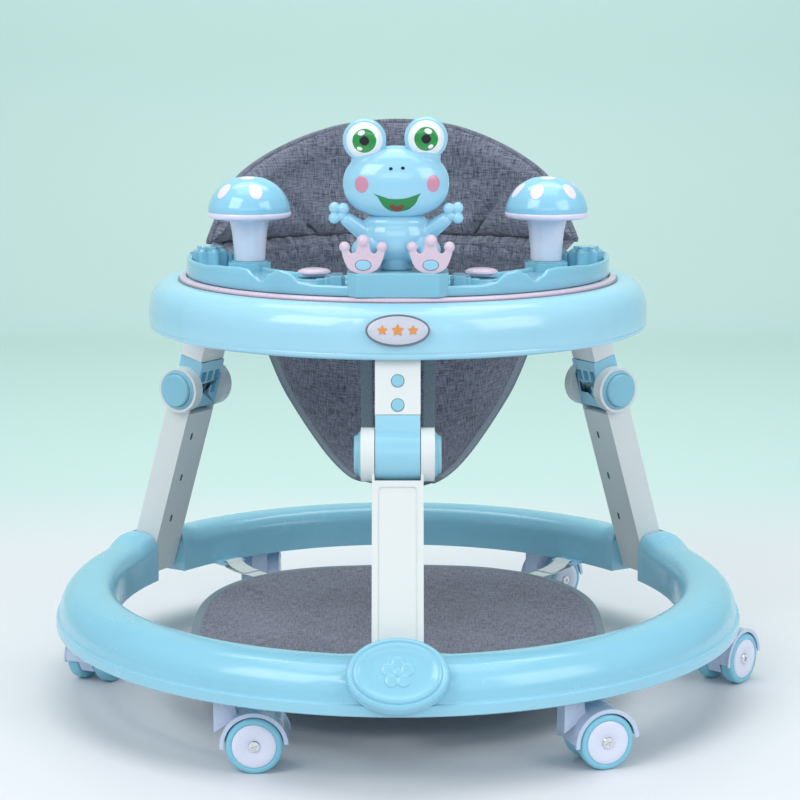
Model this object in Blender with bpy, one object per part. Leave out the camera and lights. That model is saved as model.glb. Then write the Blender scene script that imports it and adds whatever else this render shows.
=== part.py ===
"""Folding round baby walker: base ring on six twin-wheel casters, three folding legs with telescoping sleeves, tray ring with toy tray, fabric seat and foot mat. Metres, Z up, the front is -Y."""

import math

import bmesh
import bpy
from mathutils import Matrix, Vector

for old in list(bpy.data.objects):
    bpy.data.objects.remove(old, do_unlink=True)

# ---------------------------------------------------------------- dimensions
GAP = 0.0003  # clearance between neighbouring pieces
# base ring
BASE_R_OUT, BASE_R_IN = 0.342, 0.2835
BASE_Z0, BASE_Z1 = 0.066, 0.110
WALL = 0.003
# legs, in the plane of the leg: (radius, height)
FOOT_PIVOT = (0.306, 0.088)
KNEE_PIVOT = (0.247, 0.2775)
TOP_PIVOT = (0.2175, 0.378)
LEG_AZIMUTHS = {"front": 270.0, "left": 150.0, "right": 30.0}
LEG_HALF_W, LEG_HALF_T = 0.0226, 0.0140
BARREL_R, BARREL_HALF = 0.0228, 0.0200
EAR_R, EAR_OUT = 0.0232, 0.0325
PIN_R = 0.0035
BUTTON_R = 0.0170
SLEEVE_HALF_W, SLEEVE_HALF_T = 0.0201, 0.0130
COLLAR_TOP = 0.0335
SNAP_AT = (0.0423, 0.0638)  # the two snap studs, along the sleeve from the knee
SNAP_R = 0.0055
# casters
CASTER_R = 0.3165
CASTER_AZIMUTHS = {"fl": 241.0, "fr": 299.0, "l": 187.0, "r": 353.0, "rl": 120.0, "rr": 60.0}
CASTER_TRAIL = {"fl": 0.0, "fr": 20.0, "l": 66.0, "r": 50.0, "rl": 90.0, "rr": 45.0}
WHEEL_R, TRAIL = 0.0255, 0.027
WHEEL_IN, WHEEL_OUT = 0.0080, 0.0215
# tray ring
TRAY_R, TRAY_Z0 = 0.2447, 0.361
# toy tray
TOY_R, TOY_Z0 = 0.2075, 0.4098
MUSHROOM = (0.1445, -0.022)
FROG = (-0.0015, -0.176)
# the ring is drawn about the Z axis, then everything is moved so that the origin is the middle of the whole footprint
SHIFT = Vector((-0.01235, 0.00973, 0.0))

BLUE = (0.29, 0.63, 0.80, 1)
WHITE = (0.76, 0.83, 0.82, 1)
LILAC = (0.58, 0.70, 0.86, 1)
TEAL = (0.19, 0.55, 0.68, 1)
PINK = (0.60, 0.45, 0.55, 1)
STEEL = (0.6, 0.6, 0.62, 1)
FABRIC = (0.12, 0.14, 0.20, 1)
TAPE = (0.20, 0.26, 0.31, 1)
GREY = (0.52, 0.57, 0.67, 1)


# ---------------------------------------------------------------- helpers
def mesh_of(verts, faces, name="m"):
    me = bpy.data.meshes.new(name)
    me.from_pydata([tuple(v) for v in verts], [], faces)
    bm = bmesh.new()
    bm.from_mesh(me)
    bmesh.ops.remove_doubles(bm, verts=bm.verts, dist=1e-7)
    bmesh.ops.recalc_face_normals(bm, faces=bm.faces)
    bm.to_mesh(me)
    bm.free()
    return me


def moved(me, m):
    me = me.copy()
    me.transform(m)
    return me


def joined(a, b, op):
    """The Boolean of two meshes, worked out at once."""
    oa = bpy.data.objects.new("a", a)
    ob = bpy.data.objects.new("b", b)
    for o in (oa, ob):
        bpy.context.scene.collection.objects.link(o)
    mod = oa.modifiers.new("b", "BOOLEAN")
    mod.operation, mod.object, mod.solver = op, ob, "EXACT"
    graph = bpy.context.evaluated_depsgraph_get()
    graph.update()
    out = bpy.data.meshes.new_from_object(oa.evaluated_get(graph))
    for o in (oa, ob):
        bpy.data.objects.remove(o, do_unlink=True)
    return out


def union(*meshes):
    out = meshes[0]
    for m in meshes[1:]:
        out = joined(out, m, "UNION")
    return out


def cut(a, *others):
    for m in others:
        a = joined(a, m, "DIFFERENCE")
    return a


def box(x0, x1, y0, y1, z0, z1):
    v = [(x, y, z) for x in (x0, x1) for y in (y0, y1) for z in (z0, z1)]
    f = [(0, 1, 3, 2), (4, 6, 7, 5), (0, 4, 5, 1), (2, 3, 7, 6), (0, 2, 6, 4), (1, 5, 7, 3)]
    return mesh_of(v, f)


def prism(outline, low, high, axis="Z"):
    """A closed outline drawn out along an axis. The outline is (x, y) for Z, (y, z) for X and (x, z) for Y."""
    put = {"Z": lambda p, h: (p[0], p[1], h), "X": lambda p, h: (h, p[0], p[1]), "Y": lambda p, h: (p[0], h, p[1])}[axis]
    n = len(outline)
    v = [put(p, low) for p in outline] + [put(p, high) for p in outline]
    f = [tuple(range(n))[::-1], tuple(range(n, 2 * n))]
    f += [(i, (i + 1) % n, n + (i + 1) % n, n + i) for i in range(n)]
    return mesh_of(v, f)


def ring(profile, n, start=0.0):
    """A closed profile of (r, z) turned right round Z."""
    m = len(profile)
    v = [
        (r * math.cos(start + 2 * math.pi * i / n), r * math.sin(start + 2 * math.pi * i / n), z)
        for i in range(n)
        for r, z in profile
    ]
    f = [
        (i * m + j, ((i + 1) % n) * m + j, ((i + 1) % n) * m + (j + 1) % m, i * m + (j + 1) % m)
        for i in range(n)
        for j in range(m)
    ]
    return mesh_of(v, f)


def lathe(profile, n, start=0.0):
    """A profile of (r, z) turned round Z, closed at both ends on the axis."""
    v, f, rows = [], [], []
    for r, z in profile:
        if r < 1e-9:
            rows.append([len(v)])
            v.append((0, 0, z))
        else:
            rows.append(list(range(len(v), len(v) + n)))
            v += [(r * math.cos(start + 2 * math.pi * i / n), r * math.sin(start + 2 * math.pi * i / n), z) for i in range(n)]
    for a, b in zip(rows, rows[1:]):
        for i in range(n):
            k = (i + 1) % n
            if len(a) == 1:
                f.append((a[0], b[i], b[k]))
            elif len(b) == 1:
                f.append((a[i], b[0], a[k]))
            else:
                f.append((a[i], b[i], b[k], a[k]))
    if len(rows[0]) > 1:
        f.append(tuple(rows[0]))
    if len(rows[-1]) > 1:
        f.append(tuple(rows[-1][::-1]))
    return mesh_of(v, f)


def rod(r, low, high, n=16, axis="X", at=(0, 0)):
    """A cylinder along an axis; at is its place across the axis."""
    me = lathe([(r, low), (r, high)], n, math.pi / n)
    if axis == "X":
        return moved(me, Matrix.Translation((0, at[0], at[1])) @ Matrix.Rotation(math.pi / 2, 4, "Y"))
    if axis == "Y":
        return moved(me, Matrix.Translation((at[0], 0, at[1])) @ Matrix.Rotation(-math.pi / 2, 4, "X"))
    return moved(me, Matrix.Translation((at[0], at[1], 0)))


def ball(centre, radii, n=16, m=8, turn=None):
    prof = [(math.sin(math.pi * k / m), -math.cos(math.pi * k / m)) for k in range(m + 1)]
    prof[0], prof[-1] = (0, -1), (0, 1)
    me = lathe(prof, n, 0.1)
    rx = radii if isinstance(radii, tuple) else (radii,) * 3
    return moved(me, Matrix.Translation(centre) @ (turn or Matrix.Identity(4)) @ Matrix.Diagonal((*rx, 1)))


def capsule(a, b, ra, rb, n=8):
    a, b = Vector(a), Vector(b)
    d = b - a
    q = d.to_track_quat("Z", "Y").to_matrix().to_4x4()
    ln = d.length
    prof = [(0, -ra), (ra * 0.7, -ra * 0.7), (ra, 0), (rb, ln), (rb * 0.7, ln + rb * 0.7), (0, ln + rb)]
    return moved(lathe(prof, n), Matrix.Translation(a) @ q)


MATERIALS = {}


def node(name, me, colour, origin=(0, 0, 0)):
    """A finished piece, its origin on its joint axis."""
    me = moved(me, Matrix.Translation(-Vector(origin)))
    me.name = name
    o = bpy.data.objects.new(name, me)
    o.location = Vector(origin) + SHIFT
    bpy.context.scene.collection.objects.link(o)
    mat = bpy.data.materials.new(name + "_mat")
    mat.use_nodes = True
    mat.node_tree.nodes["Principled BSDF"].inputs["Base Color"].default_value = colour
    mat.diffuse_color = colour
    me.materials.clear()
    me.materials.append(mat)
    return o


def about_z(deg):
    return Matrix.Rotation(math.radians(deg), 4, "Z")


# ---------------------------------------------------------------- base ring
base_outer = [
    (0.3420, 0.0660), (0.3425, 0.0755), (0.3390, 0.0790), (0.3320, 0.0995),
    (0.3200, 0.1080), (0.3060, 0.1100), (0.2915, 0.1070), (0.2835, 0.0975), (0.2835, 0.0660),
]
base_inner = [
    (0.2865, 0.0660), (0.2865, 0.0970), (0.2930, 0.1040), (0.3180, 0.1045),
    (0.3290, 0.0975), (0.3360, 0.0780), (0.3393, 0.0745), (0.3390, 0.0660),
]
base = ring(base_outer + base_inner, 42)
for az in LEG_AZIMUTHS.values():
    m = about_z(az - 270)
    # solid block across the channel, with rounded shoulders that stand above the ring
    shoulders = prism(
        [(-0.3375, 0.0665), (-0.3360, 0.0880), (-0.3290, 0.1010), (-0.3180, 0.1130), (-0.2980, 0.1170), (-0.2885, 0.1130), (-0.2850, 0.1020), (-0.2850, 0.0665)]
        if az != 270 else
        [(-0.3375, 0.0665), (-0.3360, 0.0880), (-0.3290, 0.0995), (-0.3180, 0.1070), (-0.2980, 0.1085), (-0.2885, 0.1050), (-0.2850, 0.0980), (-0.2850, 0.0665)],
        -0.0320, 0.0320, "X",
    )
    base = union(base, moved(shoulders, m))
for az in LEG_AZIMUTHS.values():
    m = about_z(az - 270)
    # the leg's pocket, open at the top and towards the middle
    base = cut(base, moved(box(-0.0236, 0.0236, -0.3270, -0.2700, 0.0600, 0.1300), m))
    base = cut(base, moved(rod(PIN_R + GAP, -0.0285, 0.0285, 10, "X", (-FOOT_PIVOT[0], FOOT_PIVOT[1])), m))
for az in CASTER_AZIMUTHS.values():
    x, y = CASTER_R * math.cos(math.radians(az)), CASTER_R * math.sin(math.radians(az))
    base = union(base, rod(0.0088, 0.0665, 0.1035, 8, "Z", (x, y)))
for az in CASTER_AZIMUTHS.values():
    x, y = CASTER_R * math.cos(math.radians(az)), CASTER_R * math.sin(math.radians(az))
    base = cut(base, rod(0.0049, 0.0600, 0.0985, 10, "Z", (x, y)))
for az in (47.0, 133.0):
    tab = box(0.2640, 0.2850, -0.0150, 0.0150, 0.0662, 0.0690)
    slot = box(0.2680, 0.2735, -0.0115, 0.0115, 0.0600, 0.0800)
    base = cut(union(base, moved(tab, about_z(az))), moved(slot, about_z(az)))

# oval cover over the front leg's foot, let into the ring
BOSS_AT, BOSS_TILT = (0.0, -0.3315, 0.0990), 36.0


def boss_prism(rx, ry, back, front):
    pts = [(rx * math.cos(2 * math.pi * k / 24), ry * math.sin(2 * math.pi * k / 24)) for k in range(24)]
    me = prism(pts, back, front)
    # local Z becomes the outward normal, tilted up from the horizontal
    turn = Matrix.Rotation(math.radians(90 - BOSS_TILT), 4, "X")
    return moved(me, Matrix.Translation(BOSS_AT) @ turn)


base = cut(base, boss_prism(0.0445 + GAP, 0.0330 + GAP, -0.0010, 0.0300))
node("base_ring", base, BLUE)
boss = union(
    boss_prism(0.0445, 0.0330, -0.0010 + GAP, 0.0125),
    boss_prism(0.0400, 0.0288, 0.0100, 0.0140),
)
node("base_front_boss", boss, BLUE, BOSS_AT)

# ---------------------------------------------------------------- casters
# in the caster's own axes: X trails, Y along the axle, Z up, the stem on Z
arc = [math.radians(a) for a in (10, 38, 66, 94, 122, 150, 178)]
hood = prism(
    [(TRAIL + 0.0300 * math.cos(a), WHEEL_R + 0.0300 * math.sin(a)) for a in arc]
    + [(TRAIL + 0.0274 * math.cos(a), WHEEL_R + 0.0274 * math.sin(a)) for a in arc[::-1]],
    -0.0200, 0.0200, "Y",
)
web = prism(
    [(TRAIL + 0.0278 * math.cos(a), WHEEL_R + 0.0278 * math.sin(a)) for a in arc]
    + [(TRAIL - 0.0200, 0.0130), (TRAIL, 0.0090), (TRAIL + 0.0180, 0.0150)],
    -0.0074, 0.0074, "Y",
)
neck = prism([(-0.0095, 0.0340), (0.0120, 0.0480), (0.0095, 0.0620), (-0.0095, 0.0620)], -0.0082, 0.0082, "Y")
housing = union(hood, web, neck, rod(0.0045, 0.0600, 0.0975, 10, "Z"))
housing = cut(housing, rod(0.0035, -0.03, 0.03, 10, "Y", (TRAIL, WHEEL_R)))
# the wheel's lowest facet lies flat on the floor
WHEEL_N = 18
flat = WHEEL_R / math.cos(math.pi / WHEEL_N)
tyre = [(0.0, WHEEL_IN), (0.0240, WHEEL_IN), (flat, 0.0110), (flat, 0.0185), (0.0240, WHEEL_OUT), (0.0, WHEEL_OUT)]
wheel = moved(lathe(tyre, WHEEL_N, math.pi / 2 + math.pi / WHEEL_N), Matrix.Translation((TRAIL, 0, WHEEL_R)) @ Matrix.Rotation(math.pi / 2, 4, "X"))
# the outer wheel carries the axle, which runs through the web into the inner wheel
outer = union(wheel, rod(0.0030, -0.0100, 0.0165, 8, "Y", (TRAIL, WHEEL_R)))
inner = cut(
    moved(lathe(tyre, WHEEL_N, math.pi / 2 + math.pi / WHEEL_N), Matrix.Translation((TRAIL, 0, WHEEL_R)) @ Matrix.Rotation(-math.pi / 2, 4, "X")),
    rod(0.0033, 0.0, 0.0168, 8, "Y", (TRAIL, WHEEL_R)),
)
for key, az in CASTER_AZIMUTHS.items():
    x, y = CASTER_R * math.cos(math.radians(az)), CASTER_R * math.sin(math.radians(az))
    m = Matrix.Translation((x, y, 0)) @ about_z(CASTER_TRAIL[key])
    hub = m @ Vector((TRAIL, 0, WHEEL_R))
    node(f"caster_{key}_housing", moved(housing, m), LILAC, (x, y, 0.06))
    node(f"caster_{key}_wheel_outer", moved(outer, m), TEAL, hub)
    node(f"caster_{key}_wheel_inner", moved(inner, m), TEAL, hub)


# ---------------------------------------------------------------- legs
def along(p, q):
    """Axes at p: X across the leg, Z from p to q, Y towards the middle. p and q are (radius, height)."""
    z = Vector((0, -(q[0] - p[0]), q[1] - p[1])).normalized()
    x = Vector((1, 0, 0))
    y = z.cross(x)
    m = Matrix((x, y, z)).transposed().to_4x4()
    return Matrix.Translation((0, -p[0], p[1])) @ m


LOW = along(FOOT_PIVOT, KNEE_PIVOT)
UP = along(KNEE_PIVOT, TOP_PIVOT)
L1 = math.dist(FOOT_PIVOT, KNEE_PIVOT)
L2 = math.dist(KNEE_PIVOT, TOP_PIVOT)

lower = box(-LEG_HALF_W, LEG_HALF_W, -LEG_HALF_T, LEG_HALF_T, -0.0135, L1)
for s in (-1, 1):
    ear = rod(EAR_R, min(s * 0.0204, s * EAR_OUT), max(s * 0.0204, s * EAR_OUT), 20, "X", (0, L1))
    lower = union(lower, ear)
lower = cut(lower, box(-0.0203, 0.0203, -0.04, 0.04, L1 - 0.0245, L1 + 0.04))
lower = cut(lower, box(-0.0186, 0.0186, -0.0108, 0.0108, -0.0200, L1 - 0.0330))
lower = cut(lower, box(-0.0180, 0.0180, -0.0200, -0.0127, 0.0150, L1 - 0.0330))
lower = cut(lower, rod(PIN_R + GAP, -0.04, 0.04, 10, "X", (0, 0)))
lower = cut(lower, rod(PIN_R + GAP, -0.04, 0.04, 10, "X", (0, L1)))
for s in (-1, 1):
    lower = cut(lower, rod(BUTTON_R + 0.0004, min(s * 0.0262, s * 0.04), max(s * 0.0262, s * 0.04), 20, "X", (0, L1)))
lower = moved(lower, LOW)

knuckle = union(
    rod(BARREL_R, -BARREL_HALF, BARREL_HALF, 20, "X", (0, 0)),
    box(-BARREL_HALF, BARREL_HALF, -0.0130, 0.0130, 0.0, COLLAR_TOP),
    box(-0.0160, 0.0160, -0.0095, 0.0095, 0.02, 0.0850),
)
knuckle = cut(
    knuckle,
    box(-0.0085, 0.0085, -0.0200, 0.0030, 0.0360, 0.0950),
    rod(PIN_R + GAP, -0.04, 0.04, 10, "X", (0, 0)),
)
knuckle = moved(knuckle, UP)

SLEEVE_TOP = L2 + 0.0085
sleeve = prism(
    [(-SLEEVE_HALF_T, COLLAR_TOP + 0.0004), (SLEEVE_HALF_T, COLLAR_TOP + 0.0004), (SLEEVE_HALF_T, L2 + 0.0010), (0.0085, SLEEVE_TOP), (-0.0085, SLEEVE_TOP), (-SLEEVE_HALF_T, L2 + 0.0010)],
    -SLEEVE_HALF_W, SLEEVE_HALF_W, "X",
)
sleeve = cut(sleeve, box(-0.0164, 0.0164, -0.0099, 0.0099, 0.02, L2 + 0.0055))
for w in SNAP_AT:
    sleeve = cut(sleeve, rod(SNAP_R + 0.0004, -0.03, 0.0, 12, "Y", (0, w)))
sleeve = cut(sleeve, rod(PIN_R + 0.0005, -0.03, 0.03, 10, "X", (0, L2)))
sleeve = moved(sleeve, UP)

leaf = box(-0.0080, 0.0080, -0.0045, -0.0025, 0.0370, 0.0702)
for w in SNAP_AT:
    leaf = union(leaf, rod(SNAP_R, -0.0141, -0.0035, 12, "Y", (0, w)))
leaf = moved(leaf, UP)
# rod() along Y runs from low to high in Y, so the studs point outwards

for leg, az in LEG_AZIMUTHS.items():
    m = about_z(az - 270)
    foot = m @ Vector((0, -FOOT_PIVOT[0], FOOT_PIVOT[1]))
    knee = m @ Vector((0, -KNEE_PIVOT[0], KNEE_PIVOT[1]))
    node(f"{leg}_foot_pin", moved(rod(PIN_R, -0.0282, 0.0282, 10, "X", (-FOOT_PIVOT[0], FOOT_PIVOT[1])), m), STEEL, foot)
    node(f"{leg}_lower_leg", moved(lower, m), WHITE, foot)
    node(f"{leg}_knee_pin", moved(rod(PIN_R, -0.0258, 0.0258, 10, "X", (-KNEE_PIVOT[0], KNEE_PIVOT[1])), m), STEEL, knee)
    for s, tag in ((-1, "a"), (1, "b")):
        prof = [(0.0, 0.0300), (BUTTON_R, 0.0300), (BUTTON_R, 0.0350), (0.0143, 0.0385), (0.0, 0.0385)]
        turn = Matrix.Rotation(math.pi / 2 * s, 4, "Y")
        cap = moved(lathe(prof, 20, math.pi / 20), Matrix.Translation((0, -KNEE_PIVOT[0], KNEE_PIVOT[1])) @ turn)
        node(f"{leg}_knee_button_{tag}", moved(cap, m), BLUE, m @ Vector((s * 0.030, -KNEE_PIVOT[0], KNEE_PIVOT[1])))
    node(f"{leg}_knuckle", moved(knuckle, m), BLUE, knee)
    node(f"{leg}_sleeve", moved(sleeve, m), WHITE, knee)
    node(f"{leg}_height_button", moved(leaf, m), BLUE, knee)

# ---------------------------------------------------------------- tray ring
tray_profile = [
    (0.2400, 0.3610), (0.2442, 0.3660), (0.2447, 0.3770), (0.2420, 0.3930), (0.2330, 0.4045), (0.2200, 0.4085), (0.2150, 0.4070), (0.1890, 0.4070), (0.1890, 0.3805),
    (0.1915, 0.3805), (0.1915, 0.4040), (0.2190, 0.4045), (0.2310, 0.4015), (0.2395, 0.3915), (0.2424, 0.3770), (0.2414, 0.3685), (0.2385, 0.3625),
]
tray = ring(tray_profile, 44)
cheek_outline = [(-0.2375, 0.3690), (-0.2385, 0.3900), (-0.2300, 0.4035), (-0.2080, 0.4052), (-0.2080, 0.3690)]
for s in (-1, 1):
    a, b = sorted((s * 0.0235, s * 0.0265))
    tray = union(tray, prism(cheek_outline, a, b, "X"))
    a, b = sorted((s * 0.0182, s * 0.0255))
    tray = union(tray, rod(PIN_R, a, b, 10, "X", (-TOP_PIVOT[0], TOP_PIVOT[1])))
node("tray_ring", tray, BLUE)
node("pink_trim", ring([(0.2083, 0.4074), (0.2138, 0.4074), (0.2138, 0.4110), (0.2083, 0.4118)], 48), PINK)

# toy tray: a crescent deck with a low wall round it
TOY_END = 191.0  # degrees swept, symmetric about the front
n_arc = 24
a0, a1 = math.radians(270 - TOY_END / 2), math.radians(270 + TOY_END / 2)


def crescent(r_out, r_in):
    outer_pts = [(r_out * math.cos(a0 + (a1 - a0) * k / n_arc), r_out * math.sin(a0 + (a1 - a0) * k / n_arc)) for k in range(n_arc + 1)]
    pts = []
    for k in range(13):
        a = math.radians(-4.0 - 172.0 * k / 12)
        pts.append((r_in * math.cos(a), 0.030 + r_in * math.sin(a) * 1.02))
    return outer_pts + pts


deck = prism(crescent(TOY_R, 0.1450), TOY_Z0, 0.4240)
rim = ring([(TOY_R - 0.0035, 0.4230), (TOY_R, 0.4230), (TOY_R, 0.4330), (TOY_R - 0.0035, 0.4330)], 48)
# keep the rim only where the crescent is
rim = cut(rim, box(-0.3, 0.3, 0.0185, 0.3, 0.40, 0.45))
toy = union(deck, rim)
toy = union(toy, box(-0.0415, 0.0415, -0.2055, -0.1560, 0.4235, 0.4335))
for s in (-1, 1):
    toy = union(toy, rod(0.0200, 0.4200, 0.4262, 12, "Z", (s * MUSHROOM[0], MUSHROOM[1])))
    toy = cut(toy, rod(0.0120, 0.4185, 0.4300, 14, "Z", (s * 0.0780, -0.1150)))
    toy = union(toy, box(min(s * 0.178, s * 0.200), max(s * 0.178, s * 0.200), -0.0320, 0.0080, 0.4230, 0.4360))
node("toy_tray", toy, BLUE)
for s, tag in ((-1, "left"), (1, "right")):
    c = (s * 0.0780, -0.1150)
    node(f"music_button_{tag}", moved(lathe([(0, 0.4215), (0.0113, 0.4215), (0.0113, 0.4268), (0.0100, 0.4282), (0, 0.4282)], 14), Matrix.Translation((*c, 0))), PINK, (*c, 0.4215))

# oval badge on the front of the tray ring
pts = [(0.0283 * math.cos(2 * math.pi * k / 20), 0.0142 * math.sin(2 * math.pi * k / 20)) for k in range(20)]
badge = prism(pts, 0.0, 0.0030)
node("badge", moved(badge, Matrix.Translation((0, -0.2448, 0.3875)) @ Matrix.Rotation(math.radians(90 - 12), 4, "X")), GREY, (0, -0.2448, 0.3875))

# ---------------------------------------------------------------- mushrooms
stem_prof = [(0.0, 0.4265), (0.0145, 0.4265), (0.0160, 0.4420), (0.0183, 0.4600), (0.0200, 0.4662), (0.0, 0.4662)]
cap_prof = [(0.0, 0.4666), (0.0370, 0.4670), (0.0402, 0.4710), (0.0396, 0.4765), (0.0345, 0.4895), (0.0240, 0.5010), (0.0, 0.5072)]
for s, tag in ((-1, "left"), (1, "right")):
    c = (s * MUSHROOM[0], MUSHROOM[1], 0.0)
    node(f"mushroom_{tag}_stem", moved(lathe(stem_prof, 14), Matrix.Translation(c)), LILAC, (c[0], c[1], 0.4265))
    node(f"mushroom_{tag}_cap", moved(lathe(cap_prof, 20), Matrix.Translation(c)), BLUE, (c[0], c[1], 0.4666))

# ---------------------------------------------------------------- frog
fx, fy = FROG
body = ball((fx, fy, 0.4600), (0.0335, 0.0230, 0.0240), 14, 7)
body = union(body, rod(0.0150, 0.4340, 0.4560, 10, "Z", (fx, fy)))
for s in (-1, 1):
    body = union(body, capsule((fx + s * 0.0240, fy, 0.4620), (fx + s * 0.0440, fy - 0.010, 0.4800), 0.0085, 0.0060))
    for dx, dz in ((-0.0015, 0.0), (0.0060, 0.0035), (0.0045, -0.0050)):
        body = union(body, ball((fx + s * (0.0490 + dx), fy - 0.012, 0.4850 + dz), 0.0052, 6, 4))
    foot = prism(
        [(-0.0145, 0.010), (-0.0145, -0.002), (-0.008, -0.010), (0.0, -0.0125), (0.008, -0.010), (0.0145, -0.002), (0.0145, 0.010), (0.0070, 0.006), (0.0, 0.012), (-0.0070, 0.006)],
        -0.0035, 0.0030, "Y",
    )
    body = union(body, moved(foot, Matrix.Translation((fx + s * 0.0290, fy - 0.0270, 0.4480))))
    body = union(body, capsule((fx + s * 0.0200, fy - 0.004, 0.4500), (fx + s * 0.0285, fy - 0.0235, 0.4470), 0.0100, 0.0080))
for s in (-1, 1):
    for dx, dz, r in ((-0.0165, 0.0120, 0.0050), (0.0, 0.0165, 0.0052), (0.0165, 0.0120, 0.0050)):
        body = union(body, ball((fx + s * 0.0290 + dx, fy - 0.0280, 0.4480 + dz), r, 6, 4))
body = cut(body, moved(ball((0, 0, 0), (0.0490, 0.0300, 0.0330), 16, 8), Matrix.Translation((fx, fy - 0.002, 0.5130))))
node("frog_body", body, BLUE, (fx, fy, 0.434))
head = ball((fx, fy - 0.002, 0.5130), (0.0477, 0.0287, 0.0320), 16, 8)
for s in (-1, 1):
    head = union(head, ball((fx + s * 0.0275, fy - 0.006, 0.5492), (0.0194, 0.0150, 0.0194), 12, 6))
node("frog_head", head, BLUE, (fx, fy, 0.4820))

# ---------------------------------------------------------------- seat
SEAT_T = 0.0045
# (y, z) of the middle line, half width, how far it wraps in degrees, and the direction into the seat
SEAT_ROWS = [
    ((0.1830, 0.4250), 0.1720, 70.0), ((0.1820, 0.3900), 0.1700, 68.0), ((0.1720, 0.3400), 0.1530, 64.0),
    ((0.1480, 0.2850), 0.1360, 54.0), ((0.1080, 0.2350), 0.1120, 46.0), ((0.0560, 0.2030), 0.0790, 36.0),
    ((0.0050, 0.1930), 0.0500, 26.0), ((-0.0420, 0.2100), 0.0370, 18.0), ((-0.0760, 0.2520), 0.0335, 12.0),
    ((-0.1000, 0.3100), 0.0330, 10.0), ((-0.1100, 0.3650), 0.0340, 8.0), ((-0.1130, 0.4060), 0.0350, 8.0),
]
ARCH_ROWS = [1.0, 0.82, 0.62, 0.42, 0.22]
N_T = 12


def seat_point(row, t, inward):
    """A point of the seat: rows above 0 are the back rest, the others the sling."""
    if row < len(ARCH_ROWS):
        v = ARCH_ROWS[row]
        a = math.radians(71.0 + 3.0 * min(1.0, v * 2.0)) * t
        r = 0.1830 - inward + 0.025 * min(1.0, v * 2.2)
        top = 0.1270 * max(0.0, 1 - abs(t) ** 2.4) ** 0.62 + 0.008
        return Vector((r * math.sin(a), r * math.cos(a), 0.4250 + v * top))
    (y, z), w, wrap = SEAT_ROWS[row - len(ARCH_ROWS)]
    i = row - len(ARCH_ROWS)
    before, after = SEAT_ROWS[max(i - 1, 0)][0], SEAT_ROWS[min(i + 1, len(SEAT_ROWS) - 1)][0]
    ty, tz = after[0] - before[0], after[1] - before[1]
    ln = math.hypot(ty, tz)
    ny, nz = tz / ln, -ty / ln
    a = math.radians(wrap)
    radius = w / math.sin(a) - inward
    rise = w / math.sin(a) - radius * math.cos(a * t)
    return Vector((radius * math.sin(a * t), y + ny * rise, z + nz * rise))


rows = len(ARCH_ROWS) + len(SEAT_ROWS)
verts, faces = [], []
for inward in (0.0, SEAT_T):
    for r in range(rows):
        for k in range(N_T + 1):
            verts.append(seat_point(r, -1 + 2 * k / N_T, inward))
w = N_T + 1
side = rows * w
for r in range(rows - 1):
    for k in range(N_T):
        a, b, c, d = r * w + k, r * w + k + 1, (r + 1) * w + k + 1, (r + 1) * w + k
        faces += [(a, b, c, d), (side + a, side + d, side + c, side + b)]
for k in range(N_T):
    faces.append((k, side + k, side + k + 1, k + 1))
    e = (rows - 1) * w + k
    faces.append((e, e + 1, side + e + 1, side + e))
for r in range(rows - 1):
    a, b = r * w, (r + 1) * w
    faces.append((a, b, side + b, side + a))
    a, b = r * w + N_T, (r + 1) * w + N_T
    faces.append((a, side + a, side + b, b))
node("seat", mesh_of(verts, faces), FABRIC)

# ---------------------------------------------------------------- foot mat
mat_pts = []
for k in range(48):
    a = 2 * math.pi * k / 48
    c, s = math.cos(a), math.sin(a)
    p = 2.6
    rr = (abs(c / 0.2060) ** p + abs(s / (0.2180 if s > 0 else 0.2300)) ** p) ** (-1 / p)
    mat_pts.append((rr * c, rr * s - 0.004))
mat = prism(mat_pts, 0.0575, 0.0605)
mat = union(mat, box(-0.0125, 0.0125, -0.3000, -0.2200, 0.0588, 0.0605))
node("foot_mat", mat, FABRIC)
for s, tag, az in ((-1, "left", 133.0), (1, "right", 47.0)):
    out = (0.2790 * math.cos(math.radians(az)), 0.2790 * math.sin(math.radians(az)))
    start = Vector((0.2440 * math.cos(math.radians(az)), 0.2440 * math.sin(math.radians(az)), 0))
    strip = box(0.2200, 0.2790, -0.0100, 0.0100, 0.0612, 0.0626)
    node(f"mat_strap_{tag}", moved(strip, about_z(az)), GREY, (start.x, start.y, 0.0612))
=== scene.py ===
"""Looks for the folding round baby walker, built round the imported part."""
import math

import bmesh
import bpy
from mathutils import Matrix, Vector, noise
from mathutils.bvhtree import BVHTree


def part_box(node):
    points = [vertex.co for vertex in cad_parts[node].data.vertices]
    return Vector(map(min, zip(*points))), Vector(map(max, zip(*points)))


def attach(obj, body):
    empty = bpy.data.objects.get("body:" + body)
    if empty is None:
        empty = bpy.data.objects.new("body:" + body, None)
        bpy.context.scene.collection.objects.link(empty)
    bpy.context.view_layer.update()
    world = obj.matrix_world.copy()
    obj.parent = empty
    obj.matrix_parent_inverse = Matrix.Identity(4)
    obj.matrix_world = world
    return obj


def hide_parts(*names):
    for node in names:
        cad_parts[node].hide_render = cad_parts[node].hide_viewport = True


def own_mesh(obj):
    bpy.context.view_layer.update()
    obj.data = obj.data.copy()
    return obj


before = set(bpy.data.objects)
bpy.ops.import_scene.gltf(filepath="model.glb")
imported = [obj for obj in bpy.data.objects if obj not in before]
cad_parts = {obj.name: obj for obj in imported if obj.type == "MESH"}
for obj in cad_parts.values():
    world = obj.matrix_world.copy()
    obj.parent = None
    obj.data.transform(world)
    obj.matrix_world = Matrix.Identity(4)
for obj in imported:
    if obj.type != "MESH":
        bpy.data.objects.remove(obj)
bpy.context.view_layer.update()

scene = bpy.context.scene
RING_LO, RING_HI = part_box("tray_ring")
SHIFT = Vector(((RING_LO[0] + RING_HI[0]) / 2, (RING_LO[1] + RING_HI[1]) / 2, 0.0))  # the tray's centre in the shared frame

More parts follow.
